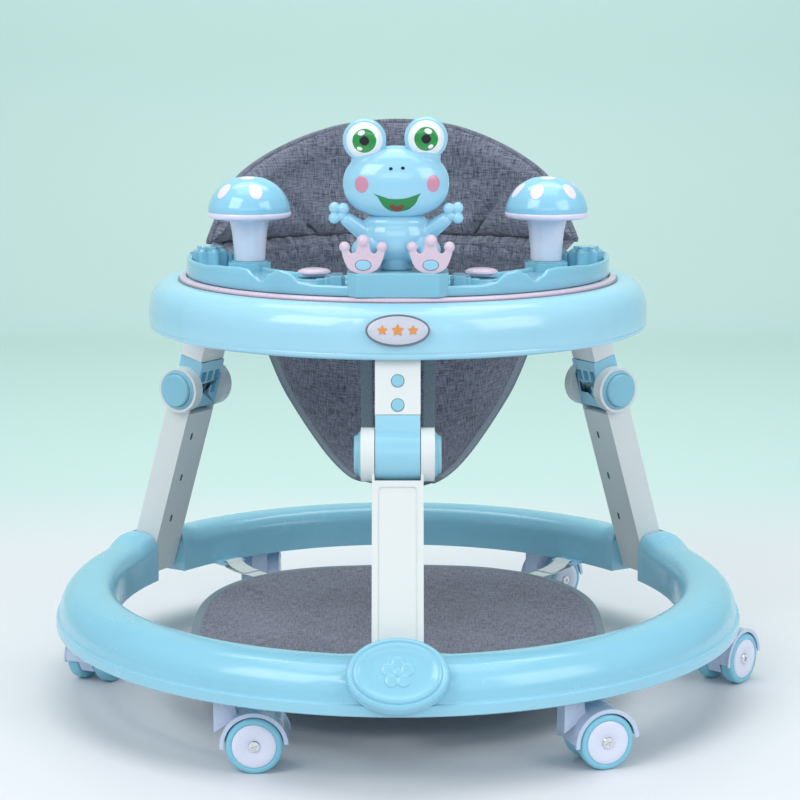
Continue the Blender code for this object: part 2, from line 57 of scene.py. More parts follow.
# ------------------------------------------------------------ part's numbers
GAP = 0.0003
FOOT_PIVOT = (0.306, 0.088)
KNEE_PIVOT = (0.247, 0.2775)
TOP_PIVOT = (0.2175, 0.378)
LEG_AZIMUTHS = {"front": 270.0, "left": 150.0, "right": 30.0}
LEG_HALF_W, LEG_HALF_T = 0.0226, 0.0140
BARREL_R, BARREL_HALF = 0.0227, 0.0198
EAR_R, EAR_OUT = 0.0238, 0.0325
PIN_R = 0.0035
BUTTON_R = 0.0172
SLEEVE_HALF_W, SLEEVE_HALF_T = 0.0201, 0.0130
COLLAR_TOP = 0.0335
SNAP_AT = (0.0423, 0.0638)
SNAP_R = 0.0055
CASTER_R = 0.3165
CASTER_AZIMUTHS = {"fl": 241.0, "fr": 299.0, "l": 187.0, "r": 353.0, "rl": 120.0, "rr": 60.0}
CASTER_TRAIL = {"fl": 0.0, "fr": 20.0, "l": 66.0, "r": 50.0, "rl": 90.0, "rr": 45.0}
WHEEL_R, TRAIL = 0.0255, 0.027
WHEEL_IN, WHEEL_OUT = 0.0080, 0.0215
TOY_R = 0.2075
MUSHROOM = (0.1445, -0.022)
FROG = (-0.0015, -0.176)


# ------------------------------------------------------------ mesh helpers
def mesh_of(verts, faces, name="m", uvs=None):
    me = bpy.data.meshes.new(name)
    me.from_pydata([tuple(v) for v in verts], [], faces)
    if uvs is not None:
        layer = me.uv_layers.new(name="UVMap")
        for loop in me.loops:
            layer.data[loop.index].uv = uvs[loop.vertex_index]
    bm = bmesh.new()
    bm.from_mesh(me)
    if uvs is None:
        bmesh.ops.remove_doubles(bm, verts=bm.verts, dist=1e-7)
    bmesh.ops.recalc_face_normals(bm, faces=bm.faces)
    bm.to_mesh(me)
    bm.free()
    return me


def moved(me, m):
    me = me.copy()
    me.transform(m)
    return me


def baked(o):
    graph = bpy.context.evaluated_depsgraph_get()
    graph.update()
    return bpy.data.meshes.new_from_object(o.evaluated_get(graph))


def joined(a, b, op):
    oa = bpy.data.objects.new("a", a)
    ob = bpy.data.objects.new("b", b)
    for o in (oa, ob):
        scene.collection.objects.link(o)
    mod = oa.modifiers.new("b", "BOOLEAN")
    mod.operation, mod.object, mod.solver = op, ob, "EXACT"
    out = baked(oa)
    for o in (oa, ob):
        bpy.data.objects.remove(o, do_unlink=True)
    return out


def union(*meshes):
    out = meshes[0]
    for m in meshes[1:]:
        out = joined(out, m, "UNION")
    return out


def cut(a, *others):
    for m in others:
        a = joined(a, m, "DIFFERENCE")
    return a


def gathered(*meshes):
    """Several shells as one mesh, with no Boolean."""
    bm = bmesh.new()
    for m in meshes:
        bm.from_mesh(m)
    me = bpy.data.meshes.new("g")
    bm.to_mesh(me)
    bm.free()
    return me


def box(x0, x1, y0, y1, z0, z1):
    v = [(x, y, z) for x in (x0, x1) for y in (y0, y1) for z in (z0, z1)]
    f = [(0, 1, 3, 2), (4, 6, 7, 5), (0, 4, 5, 1), (2, 3, 7, 6), (0, 2, 6, 4), (1, 5, 7, 3)]
    return mesh_of(v, f)


def prism(outline, low, high, axis="Z"):
    put = {"Z": lambda p, h: (p[0], p[1], h), "X": lambda p, h: (h, p[0], p[1]), "Y": lambda p, h: (p[0], h, p[1])}[axis]
    n = len(outline)
    v = [put(p, low) for p in outline] + [put(p, high) for p in outline]
    f = [tuple(range(n))[::-1], tuple(range(n, 2 * n))]
    f += [(i, (i + 1) % n, n + (i + 1) % n, n + i) for i in range(n)]
    return mesh_of(v, f)


def catmull(pts, per=6, closed=False):
    """A smooth curve through the points."""
    out, n = [], len(pts)
    spans = n if closed else n - 1
    for i in range(spans):
        p = [pts[(i + k) % n] if closed else pts[min(max(i + k, 0), n - 1)] for k in (-1, 0, 1, 2)]
        for j in range(per):
            t = j / per
            out.append(tuple(
                0.5 * ((2 * b) + (-a + c) * t + (2 * a - 5 * b + 4 * c - d) * t * t + (-a + 3 * b - 3 * c + d) * t ** 3)
                for a, b, c, d in zip(*p)
            ))
    if not closed:
        out.append(tuple(pts[-1]))
    return out


def rounded(outline, radius, steps=4):
    """A closed polygon with its corners rounded."""
    out, n = [], len(outline)
    for i in range(n):
        p, a, b = Vector(outline[i]), Vector(outline[i - 1]), Vector(outline[(i + 1) % n])
        da, db = (a - p), (b - p)
        r = min(radius, da.length * 0.45, db.length * 0.45)
        a, b = p + da.normalized() * r, p + db.normalized() * r
        for k in range(steps + 1):
            t = k / steps
            out.append(tuple(a * (1 - t) ** 2 + p * 2 * t * (1 - t) + b * t * t))
    return out


def ring(profile, n, shape=None):
    """A closed profile of (r, z) turned right round Z. shape(azimuth, r, z) may move a point."""
    m = len(profile)
    v = []
    for i in range(n):
        a = 2 * math.pi * i / n
        for r, z in profile:
            if shape:
                r, z = shape(math.degrees(a), r, z)
            v.append((r * math.cos(a), r * math.sin(a), z))
    f = [
        (i * m + j, ((i + 1) % n) * m + j, ((i + 1) % n) * m + (j + 1) % m, i * m + (j + 1) % m)
        for i in range(n)
        for j in range(m)
    ]
    return mesh_of(v, f)


def lathe(profile, n, start=0.0):
    v, f, rows = [], [], []
    for r, z in profile:
        if r < 1e-9:
            rows.append([len(v)])
            v.append((0, 0, z))
        else:
            rows.append(list(range(len(v), len(v) + n)))
            v += [(r * math.cos(start + 2 * math.pi * i / n), r * math.sin(start + 2 * math.pi * i / n), z) for i in range(n)]
    for a, b in zip(rows, rows[1:]):
        for i in range(n):
            k = (i + 1) % n
            if len(a) == 1:
                f.append((a[0], b[i], b[k]))
            elif len(b) == 1:
                f.append((a[i], b[0], a[k]))
            else:
                f.append((a[i], b[i], b[k], a[k]))
    if len(rows[0]) > 1:
        f.append(tuple(rows[0]))
    if len(rows[-1]) > 1:
        f.append(tuple(rows[-1][::-1]))
    return mesh_of(v, f)


def rod(r, low, high, n=32, axis="X", at=(0, 0)):
    me = lathe([(r, low), (r, high)], n, math.pi / n)
    if axis == "X":
        return moved(me, Matrix.Translation((0, at[0], at[1])) @ Matrix.Rotation(math.pi / 2, 4, "Y"))
    if axis == "Y":
        return moved(me, Matrix.Translation((at[0], 0, at[1])) @ Matrix.Rotation(-math.pi / 2, 4, "X"))
    return moved(me, Matrix.Translation((at[0], at[1], 0)))


def ball(centre, radii, n=32, m=16, lower=2.0):
    """An ellipsoid; lower above 2 makes its lower half fuller."""
    prof = [(math.sin(math.pi * k / m), -math.cos(math.pi * k / m)) for k in range(m + 1)]
    prof = [((1 - abs(z) ** lower) ** (1 / lower) if z < 0 else r, z) for r, z in prof]
    prof[0], prof[-1] = (0, -1), (0, 1)
    rx = radii if isinstance(radii, tuple) else (radii,) * 3
    return moved(lathe(prof, n, 0.1), Matrix.Translation(centre) @ Matrix.Diagonal((*rx, 1)))


def capsule(a, b, ra, rb, n=20):
    a, b = Vector(a), Vector(b)
    d = b - a
    q = d.to_track_quat("Z", "Y").to_matrix().to_4x4()
    prof = [(ra * math.sin(k * math.pi / 12), -ra * math.cos(k * math.pi / 12)) for k in range(7)]
    prof += [(rb * math.cos(k * math.pi / 12), d.length + rb * math.sin(k * math.pi / 12)) for k in range(7)]
    prof[0], prof[-1] = (0, -ra), (0, d.length + rb)
    return moved(lathe(prof, n), Matrix.Translation(a) @ q)


def about_z(deg):
    return Matrix.Rotation(math.radians(deg), 4, "Z")


def sweep(points, sides, ups, section, closed=False, uv_scale=1.0):
    """A cross-section of (side, up) carried along a line, with a UV in metres."""
    m, n = len(section), len(points)
    v, uvs, along_m = [], [], 0.0
    for i in range(n):
        if i:
            along_m += (points[i] - points[i - 1]).length
        round_m = 0.0
        for j, (s, u) in enumerate(section):
            if j:
                round_m += math.dist(section[j], section[j - 1])
            v.append(points[i] + sides[i] * s + ups[i] * u)
            uvs.append((round_m * uv_scale, along_m * uv_scale))
    f = []
    for i in range(n if closed else n - 1):
        for j in range(m):
            a, b = i * m, ((i + 1) % n) * m
            f.append((a + j, a + (j + 1) % m, b + (j + 1) % m, b + j))
    if not closed:
        f.append(tuple(range(m))[::-1])
        f.append(tuple(range((n - 1) * m, n * m)))
    return mesh_of(v, f, uvs=uvs)


def oval(hw, hh, n=14, p=2.6):
    out = []
    for k in range(n):
        a = 2 * math.pi * k / n
        c, s = math.cos(a), math.sin(a)
        out.append((hw * math.copysign(abs(c) ** (2 / p), c), hh * math.copysign(abs(s) ** (2 / p), s)))
    return out


PIECES, RAW = {}, {}


def piece(name, me, body, mat, stands_for=(), bevel=0.0, segments=3, angle=30.0, sharp=38.0, subdiv=0, remesh=0.0, smooth=0):
    me = me.copy()
    me.name = name
    o = bpy.data.objects.new(name, me)
    scene.collection.objects.link(o)
    if remesh:
        mod = o.modifiers.new("r", "REMESH")
        mod.mode, mod.voxel_size = "VOXEL", remesh
        if smooth:
            mod = o.modifiers.new("s", "SMOOTH")
            mod.factor, mod.iterations = 0.6, smooth
    if bevel:
        mod = o.modifiers.new("b", "BEVEL")
        mod.width, mod.segments, mod.limit_method = bevel, segments, "ANGLE"
        mod.angle_limit = math.radians(angle)
        mod.use_clamp_overlap = True
        mod.miter_outer = "MITER_ARC"
    if subdiv:
        mod = o.modifiers.new("s", "SUBSURF")
        mod.levels = mod.render_levels = subdiv
    if o.modifiers:
        new = baked(o)
        new.name = name
        o.modifiers.clear()
        o.data = new
    for p in o.data.polygons:
        p.use_smooth = True
    o.data.set_sharp_from_angle(angle=math.radians(sharp))
    if bevel:
        o.modifiers.new("w", "WEIGHTED_NORMAL").keep_sharp = True
        new = baked(o)
        new.name = name
        o.modifiers.clear()
        o.data = new
    o.data.materials.clear()
    o.data.materials.append(mat)
    RAW[name] = o.data.copy()
    o.data.transform(Matrix.Translation(SHIFT))
    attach(o, body)
    if stands_for:
        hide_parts(*([stands_for] if isinstance(stands_for, str) else stands_for))
    PIECES[name] = o
    return o


# ------------------------------------------------------------ materials
def tree_of(name):
    mat = bpy.data.materials.new(name)
    mat.use_nodes = True
    return mat, mat.node_tree, mat.node_tree.nodes["Principled BSDF"]


def add(t, kind, **values):
    n = t.nodes.new("ShaderNode" + kind)
    for k, val in values.items():
        if k in n.inputs:
            n.inputs[k].default_value = val
        else:
            setattr(n, k, val)
    return n


def ramp(t, source, stops):
    r = add(t, "ValToRGB")
    cr = r.color_ramp
    while len(cr.elements) < len(stops):
        cr.elements.new(0.5)
    for e, (pos, col) in zip(cr.elements, stops):
        e.position = pos
        e.color = (*col, 1) if len(col) == 3 else col
    t.links.new(source, r.inputs["Fac"])
    return r


def shade(c, k):
    return tuple(min(1.0, max(0.0, x * k)) for x in c)


def plastic(name, colour, rough=0.26, coat=0.25, var=0.05, grain=0.10, peel=0.12, sss=0.0, spec=0.5, wear=0.5):
    """Moulded plastic: slight mottling, a satin skin that is a little smoother in places, fine grain and paler rubbed edges."""
    mat, t, b = tree_of(name)
    co = add(t, "TexCoord")
    big = add(t, "TexNoise", Scale=9.0, Detail=3.0, Roughness=0.55)
    t.links.new(co.outputs["Object"], big.inputs["Vector"])
    col = ramp(t, big.outputs["Fac"], [(0.30, shade(colour, 1 - var)), (0.70, shade(colour, 1 + var))])
    geo = add(t, "NewGeometry")
    edge = add(t, "MapRange")
    edge.inputs["From Min"].default_value, edge.inputs["From Max"].default_value = 0.53, 0.62
    edge.inputs["To Max"].default_value = 0.22 * wear
    t.links.new(geo.outputs["Pointiness"], edge.inputs["Value"])
    mix = add(t, "Mix", data_type="RGBA")
    sockets = [s for s in mix.inputs if s.type == "RGBA"]
    sockets[1].default_value = (*[min(1.0, 0.35 + 0.72 * x) for x in colour], 1)
    t.links.new(col.outputs["Color"], sockets[0])
    t.links.new(edge.outputs["Result"], mix.inputs[0])
    out = [s for s in mix.outputs if s.type == "RGBA"][0]
    t.links.new(out, b.inputs["Base Color"])
    patch = add(t, "TexNoise", Scale=26.0, Detail=4.0, Roughness=0.6)
    t.links.new(co.outputs["Object"], patch.inputs["Vector"])
    scuff = add(t, "TexNoise", Scale=160.0, Detail=5.0, Roughness=0.7)
    stretch = add(t, "Mapping")
    stretch.inputs["Scale"].default_value = (0.25, 1.0, 2.4)
    t.links.new(co.outputs["Object"], stretch.inputs["Vector"])
    t.links.new(stretch.outputs["Vector"], scuff.inputs["Vector"])
    rr = add(t, "MapRange")
    rr.inputs["From Min"].default_value, rr.inputs["From Max"].default_value = 0.3, 0.75
    rr.inputs["To Min"].default_value, rr.inputs["To Max"].default_value = max(0.04, rough - 0.05), rough + 0.06
    t.links.new(patch.outputs["Fac"], rr.inputs["Value"])
    rs = add(t, "MapRange")
    rs.inputs["From Min"].default_value, rs.inputs["From Max"].default_value = 0.62, 0.80
    rs.inputs["To Max"].default_value = 0.10
    t.links.new(scuff.outputs["Fac"], rs.inputs["Value"])
    sm = add(t, "Math", operation="ADD")
    t.links.new(rr.outputs["Result"], sm.inputs[0])
    t.links.new(rs.outputs["Result"], sm.inputs[1])
    t.links.new(sm.outputs[0], b.inputs["Roughness"])
    fine = add(t, "TexNoise", Scale=1500.0, Detail=2.0)
    t.links.new(co.outputs["Object"], fine.inputs["Vector"])
    wavy = add(t, "TexNoise", Scale=55.0, Detail=1.0)
    t.links.new(co.outputs["Object"], wavy.inputs["Vector"])
    b1 = add(t, "Bump", Strength=peel, Distance=0.0006)
    t.links.new(wavy.outputs["Fac"], b1.inputs["Height"])
    b2 = add(t, "Bump", Strength=grain, Distance=0.00008)
    t.links.new(fine.outputs["Fac"], b2.inputs["Height"])
    t.links.new(b1.outputs["Normal"], b2.inputs["Normal"])
    t.links.new(b2.outputs["Normal"], b.inputs["Normal"])
    b.inputs["Coat Weight"].default_value = coat
    b.inputs["Coat Roughness"].default_value = 0.08
    b.inputs["Specular IOR Level"].default_value = spec
    if sss:
        b.inputs["Subsurface Weight"].default_value = sss
        b.inputs["Subsurface Radius"].default_value = (0.6, 0.9, 1.0)
        b.inputs["Subsurface Scale"].default_value = 0.006
    return mat


def fabric(name, dark, light, thread=0.00085, slub=1.0, sheen=0.25, rough=0.92, bump=0.5):
    """A heathered two-tone plain weave, drawn in the sheet's own metres."""
    mat, t, b = tree_of(name)
    uv = add(t, "UVMap", uv_map="UVMap")
    sep = add(t, "SeparateXYZ")
    t.links.new(uv.outputs["UV"], sep.inputs[0])

    def streaks(sx, sy, seed):
        mp = add(t, "Mapping")
        mp.inputs["Scale"].default_value = (sx, sy, 1)
        mp.inputs["Location"].default_value = (seed, seed * 0.7, 0)
        t.links.new(uv.outputs["UV"], mp.inputs["Vector"])
        n = add(t, "TexNoise", Scale=1.0, Detail=2.0, Roughness=0.6)
        t.links.new(mp.outputs["Vector"], n.inputs["Vector"])
        return n.outputs["Fac"]

    warp = streaks(620.0 * slub, 85.0 * slub, 3.1)
    weft = streaks(85.0 * slub, 620.0 * slub, 7.7)
    speck = streaks(900.0, 900.0, 1.3)
    cloud = streaks(14.0, 14.0, 5.5)
    sm = add(t, "Math", operation="ADD")
    t.links.new(warp, sm.inputs[0])
    t.links.new(weft, sm.inputs[1])
    s2 = add(t, "Math", operation="MULTIPLY_ADD")
    t.links.new(speck, s2.inputs[0])
    s2.inputs[1].default_value = 0.45
    t.links.new(sm.outputs[0], s2.inputs[2])
    s3 = add(t, "Math", operation="MULTIPLY_ADD")
    t.links.new(cloud, s3.inputs[0])
    s3.inputs[1].default_value = 0.30
    t.links.new(s2.outputs[0], s3.inputs[2])
    mr = add(t, "MapRange")
    mr.inputs["From Min"].default_value, mr.inputs["From Max"].default_value = 1.00, 1.75
    t.links.new(s3.outputs[0], mr.inputs["Value"])
    mid = tuple((d + l) / 2 * 0.92 for d, l in zip(dark, light))
    col = ramp(t, mr.outputs["Result"], [(0.12, shade(dark, 0.80)), (0.45, mid), (0.88, light)])
    t.links.new(col.outputs["Color"], b.inputs["Base Color"])

    def wave(socket):
        mu = add(t, "Math", operation="MULTIPLY")
        t.links.new(sep.outputs[socket], mu.inputs[0])
        mu.inputs[1].default_value = 2 * math.pi / thread
        si = add(t, "Math", operation="SINE")
        t.links.new(mu.outputs[0], si.inputs[0])
        return si.outputs[0]

    pr = add(t, "Math", operation="MULTIPLY")
    t.links.new(wave("X"), pr.inputs[0])
    t.links.new(wave("Y"), pr.inputs[1])
    hs = add(t, "Math", operation="MULTIPLY_ADD")
    t.links.new(pr.outputs[0], hs.inputs[0])
    hs.inputs[1].default_value = 0.35
    t.links.new(mr.outputs["Result"], hs.inputs[2])
    bp = add(t, "Bump", Strength=bump, Distance=0.0007)
    t.links.new(hs.outputs[0], bp.inputs["Height"])
    t.links.new(bp.outputs["Normal"], b.inputs["Normal"])
    rg = add(t, "MapRange")
    rg.inputs["To Min"].default_value, rg.inputs["To Max"].default_value = rough - 0.06, min(1.0, rough + 0.06)
    t.links.new(mr.outputs["Result"], rg.inputs["Value"])
    t.links.new(rg.outputs["Result"], b.inputs["Roughness"])
    b.inputs["Sheen Weight"].default_value = sheen
    b.inputs["Sheen Roughness"].default_value = 0.5
    b.inputs["Specular IOR Level"].default_value = 0.25
    return mat


def webbing(name, dark, light, rib=0.0012, rough=0.75):
    """Ribbed tape, drawn in its own metres: ribs across its length and a slight colour change thread to thread."""
    mat, t, b = tree_of(name)
    uv = add(t, "UVMap", uv_map="UVMap")
    sep = add(t, "SeparateXYZ")
    t.links.new(uv.outputs["UV"], sep.inputs[0])
    mu = add(t, "Math", operation="MULTIPLY")
    t.links.new(sep.outputs["Y"], mu.inputs[0])
    mu.inputs[1].default_value = 2 * math.pi / rib
    si = add(t, "Math", operation="SINE")
    t.links.new(mu.outputs[0], si.inputs[0])
    mp = add(t, "Mapping")
    mp.inputs["Scale"].default_value = (900, 260, 1)
    t.links.new(uv.outputs["UV"], mp.inputs["Vector"])
    n = add(t, "TexNoise", Scale=1.0, Detail=3.0, Roughness=0.6)
    t.links.new(mp.outputs["Vector"], n.inputs["Vector"])
    ad = add(t, "Math", operation="MULTIPLY_ADD")
    t.links.new(si.outputs[0], ad.inputs[0])
    ad.inputs[1].default_value = 0.16
    t.links.new(n.outputs["Fac"], ad.inputs[2])
    col = ramp(t, ad.outputs[0], [(0.25, dark), (0.75, light)])
    t.links.new(col.outputs["Color"], b.inputs["Base Color"])
    bp = add(t, "Bump", Strength=0.5, Distance=0.0006)
    t.links.new(ad.outputs[0], bp.inputs["Height"])
    t.links.new(bp.outputs["Normal"], b.inputs["Normal"])
    rg = add(t, "MapRange")
    rg.inputs["To Min"].default_value, rg.inputs["To Max"].default_value = rough - 0.08, rough + 0.1
    t.links.new(n.outputs["Fac"], rg.inputs["Value"])
    t.links.new(rg.outputs["Result"], b.inputs["Roughness"])
    b.inputs["Sheen Weight"].default_value = 0.15
    return mat


def metal(name, colour=(0.72, 0.73, 0.76), rough=0.22):
    mat, t, b = tree_of(name)
    co = add(t, "TexCoord")
    mp = add(t, "Mapping")
    mp.inputs["Scale"].default_value = (300, 300, 60)
    t.links.new(co.outputs["Object"], mp.inputs["Vector"])
    n = add(t, "TexNoise", Scale=4.0, Detail=4.0)
    t.links.new(mp.outputs["Vector"], n.inputs["Vector"])
    col = ramp(t, n.outputs["Fac"], [(0.3, shade(colour, 0.86)), (0.7, colour)])
    t.links.new(col.outputs["Color"], b.inputs["Base Color"])
    rg = add(t, "MapRange")
    rg.inputs["To Min"].default_value, rg.inputs["To Max"].default_value = rough - 0.06, rough + 0.14
    t.links.new(n.outputs["Fac"], rg.inputs["Value"])
    t.links.new(rg.outputs["Result"], b.inputs["Roughness"])
    bp = add(t, "Bump", Strength=0.15, Distance=0.0002)
    t.links.new(n.outputs["Fac"], bp.inputs["Height"])
    t.links.new(bp.outputs["Normal"], b.inputs["Normal"])
    b.inputs["Metallic"].default_value = 1.0
    return mat


M = {
    "blue": plastic("blue_abs", (0.305, 0.655, 0.820), rough=0.24, coat=0.30, var=0.03),
    "base": plastic("blue_abs_base", (0.272, 0.625, 0.790), rough=0.24, coat=0.30, var=0.03),
    "tray": plastic("blue_abs_tray", (0.365, 0.700, 0.860), rough=0.20, coat=0.35, var=0.025),
    "knuckle": plastic("blue_abs_knuckle", (0.270, 0.620, 0.785), rough=0.30, coat=0.10, var=0.03),
    "button": plastic("blue_button", (0.255, 0.575, 0.715), rough=0.34, coat=0.05, var=0.03),
    "toy": plastic("toy_tray_clear_blue", (0.262, 0.590, 0.735), rough=0.15, coat=0.5, var=0.05, peel=0.2, sss=0.25),
    "frog": plastic("frog_blue", (0.330, 0.665, 0.850), rough=0.17, coat=0.5, var=0.02, peel=0.05),
    "cap": plastic("mushroom_blue", (0.290, 0.650, 0.850), rough=0.16, coat=0.5, var=0.02, peel=0.05),
    "white": plastic("white_pp", (0.745, 0.800, 0.795), rough=0.38, coat=0.05, var=0.02, grain=0.2),
    "lilac": plastic("lilac_pp", (0.750, 0.800, 0.950), rough=0.28, coat=0.2, var=0.02),
    "hood": plastic("hood_pp", (0.540, 0.640, 0.810), rough=0.26, coat=0.25, var=0.04, sss=0.1),
    "stem": plastic("stem_pp", (0.800, 0.830, 0.960), rough=0.26, coat=0.3, var=0.02, sss=0.1),
    "spot": plastic("spot_lilac", (0.860, 0.790, 0.960), rough=0.20, coat=0.4, var=0.02),
    "tyre": plastic("tyre_teal", (0.225, 0.590, 0.740), rough=0.36, coat=0.05, var=0.04, grain=0.3),
    "pink": plastic("pink_abs", (0.720, 0.580, 0.700), rough=0.26, coat=0.25, var=0.03),
    "eye_white": plastic("eye_white", (0.820, 0.880, 0.900), rough=0.12, coat=0.6, var=0.02, peel=0.0, wear=0.0),
    "iris": plastic("iris_green", (0.010, 0.270, 0.055), rough=0.14, coat=0.7, var=0.25, peel=0.0, wear=0.0),
    "pupil": plastic("pupil_black", (0.006, 0.007, 0.010), rough=0.12, coat=0.7, var=0.1, peel=0.0, wear=0.0),
    "glint": plastic("glint_white", (0.88, 0.93, 0.93), rough=0.10, coat=0.6, var=0.01, peel=0.0, wear=0.0),
    "cheek": plastic("cheek_pink", (0.640, 0.290, 0.420), rough=0.22, coat=0.3, var=0.06, peel=0.0, wear=0.0),
    "mouth": plastic("mouth_green", (0.006, 0.235, 0.060), rough=0.22, coat=0.3, var=0.08, peel=0.0, wear=0.0),
    "tongue": plastic("tongue_red", (0.235, 0.040, 0.022), rough=0.28, coat=0.2, var=0.1, peel=0.0, wear=0.0),
    "badge": plastic("badge_grey", (0.560, 0.600, 0.690), rough=0.28, coat=0.2, var=0.03, wear=0.2),
    "badge_rim": plastic("badge_rim_dark", (0.150, 0.170, 0.220), rough=0.32, coat=0.1, var=0.06, wear=0.3),
    "orange": plastic("badge_orange", (0.720, 0.270, 0.045), rough=0.3, coat=0.2, var=0.06, wear=0.0),
    "dark": plastic("shadow_slot", (0.060, 0.090, 0.110), rough=0.6, coat=0.0, var=0.1, wear=0.0),
    "steel": metal("zinc_steel"),
    "chrome": metal("chrome_screw", (0.82, 0.83, 0.85), 0.14),
    "seat": fabric("seat_weave", (0.058, 0.072, 0.108), (0.260, 0.290, 0.370)),
    # painted shade: the seat weave darkened evenly by about an eighth for the sling that hangs under the tray
    "seat_shaded": fabric("sling_weave_shaded", (0.050, 0.064, 0.096), (0.225, 0.258, 0.330)),
    "mat": fabric("mat_weave", (0.080, 0.088, 0.128), (0.270, 0.278, 0.365), slub=0.9),
    "tape": webbing("grey_binding", (0.130, 0.180, 0.220), (0.235, 0.300, 0.345)),
    "web": webbing("white_webbing", (0.560, 0.640, 0.640), (0.760, 0.820, 0.810), rib=0.0016),
    # painted shade: a dark ribbed cord laid into creases and dart grooves
    "crease_shade": webbing("crease_shadow_cord", (0.020, 0.026, 0.040), (0.060, 0.070, 0.095), rib=0.0022, rough=0.85),
}

# ------------------------------------------------------------ camera, floor and light
cam = bpy.data.objects.new("camera", bpy.data.cameras.new("camera"))
scene.collection.objects.link(cam)
cam.location = Vector((0.0020, -2.0764, 0.6422)) + SHIFT
cam.rotation_euler = (math.radians(90 - 9.80), 0, 0)
cam.data.lens, cam.data.sensor_width = 95.03, 36.0
cam.data.clip_start, cam.data.clip_end = 0.05, 50
scene.camera = cam
scene.view_settings.view_transform = "Standard"

# one pale sheet: floor in front, curving up behind
sweep_line = [(-6.0, 0.0)] + [(2.35, 0.0)] + [
    (2.35 + 0.6 * math.sin(math.pi / 2 * k / 12), 0.6 - 0.6 * math.cos(math.pi / 2 * k / 12)) for k in range(1, 13)
] + [(2.95, 5.0)]
v, f = [], []
for y, z in sweep_line:
    v += [(-7.0, y, z), (7.0, y, z)]
for i in range(len(sweep_line) - 1):
    f.append((2 * i, 2 * i + 1, 2 * i + 3, 2 * i + 2))
me = mesh_of(v, f, "floor")
for p in me.polygons:
    p.use_smooth = True
floor = bpy.data.objects.new("floor", me)
scene.collection.objects.link(floor)
fm, t, b = tree_of("floor_paint")
co = add(t, "TexCoord")
sep = add(t, "SeparateXYZ")
t.links.new(co.outputs["Object"], sep.inputs[0])
mr = add(t, "MapRange", interpolation_type="SMOOTHSTEP")
mr.inputs["From Min"].default_value, mr.inputs["From Max"].default_value = 0.45, 1.05
t.links.new(sep.outputs["Y"], mr.inputs["Value"])
fn = add(t, "TexNoise", Scale=3.0, Detail=5.0)
t.links.new(co.outputs["Object"], fn.inputs["Vector"])
fa = add(t, "Math", operation="MULTIPLY_ADD")
t.links.new(fn.outputs["Fac"], fa.inputs[0])
fa.inputs[1].default_value = 0.06
t.links.new(mr.outputs["Result"], fa.inputs[2])
fc = ramp(t, fa.outputs[0], [(0.03, (0.77, 0.79, 0.82)), (1.0, (0.60, 0.79, 0.745))])
t.links.new(fc.outputs["Color"], b.inputs["Base Color"])
b.inputs["Roughness"].default_value = 0.55
b.inputs["Specular IOR Level"].default_value = 0.25
me.materials.append(fm)


def area(name, at, aim, size, power, colour=(1, 1, 1)):
    d = bpy.data.lights.new(name, "AREA")
    d.shape, d.size, d.size_y, d.energy, d.color = "RECTANGLE", size[0], size[1], power, colour
    o = bpy.data.objects.new(name, d)
    o.location = at
    o.rotation_euler = (Vector(aim) - Vector(at)).to_track_quat("-Z", "Y").to_euler()
    scene.collection.objects.link(o)


area("key", (-1.5, -1.5, 2.0), (0, 0, 0.3), (1.4, 1.4), 25)
area("fill", (1.7, -1.4, 1.5), (0, 0, 0.3), (1.3, 1.3), 16, (0.98, 0.98, 1.0))
area("top", (0.0, 0.2, 2.6), (0, 0, 0.2), (2.2, 2.2), 25)
area("backdrop", (0.0, 0.9, 3.0), (0, 2.95, 0.9), (3.2, 0.8), 26)
area("front", (0.0, -2.9, 1.5), (0, 0, 0.3), (2.4, 0.8), 9)
world = bpy.data.worlds.new("studio")
scene.world = world
world.use_nodes = True
bg = world.node_tree.nodes["Background"]
bg.inputs["Color"].default_value = (0.86, 0.90, 0.95, 1)
bg.inputs["Strength"].default_value = 0.50

# ------------------------------------------------------------ base ring
def smooth(x, lo, hi):
    x = min(1.0, max(0.0, (x - lo) / (hi - lo)))
    return x * x * (3 - 2 * x)


top_curve = catmull([(0.3390, 0.0790), (0.3375, 0.0880), (0.3320, 0.0985), (0.3215, 0.1070), (0.3065, 0.1100), (0.2925, 0.1072), (0.2848, 0.0985), (0.2835, 0.0880)], 6)
base_outer = [(0.3405, 0.0662), (0.3425, 0.0675), (0.3425, 0.0745), (0.3418, 0.0765), (0.3396, 0.0775)] + top_curve + [(0.2835, 0.0672), (0.2842, 0.0660)]
base_inner = [
    (0.2858, 0.0660), (0.2865, 0.0970), (0.2930, 0.1040), (0.3060, 0.1062), (0.3180, 0.1045),
    (0.3290, 0.0965), (0.3350, 0.0800), (0.3385, 0.0745), (0.3388, 0.0662),
]


def base_shape(az, r, z):
    """Shoulders that rise from the ring on both sides of each leg."""
    if z < 0.0780:
        return r, z
    for leg, a in LEG_AZIMUTHS.items():
        d = abs((az - a + 180) % 360 - 180)
        w = 1 - smooth(d, 5.2, 11.5 if leg != "front" else 9.5)
        if w > 0:
            lift = (0.0075 if leg != "front" else 0.0020) * w
            k = smooth(z, 0.0800, 0.1080)
            z = z + lift * k
            r = r + 0.0030 * w * smooth(z, 0.085, 0.100) * (1 if r > 0.306 else -0.15)
    return r, z


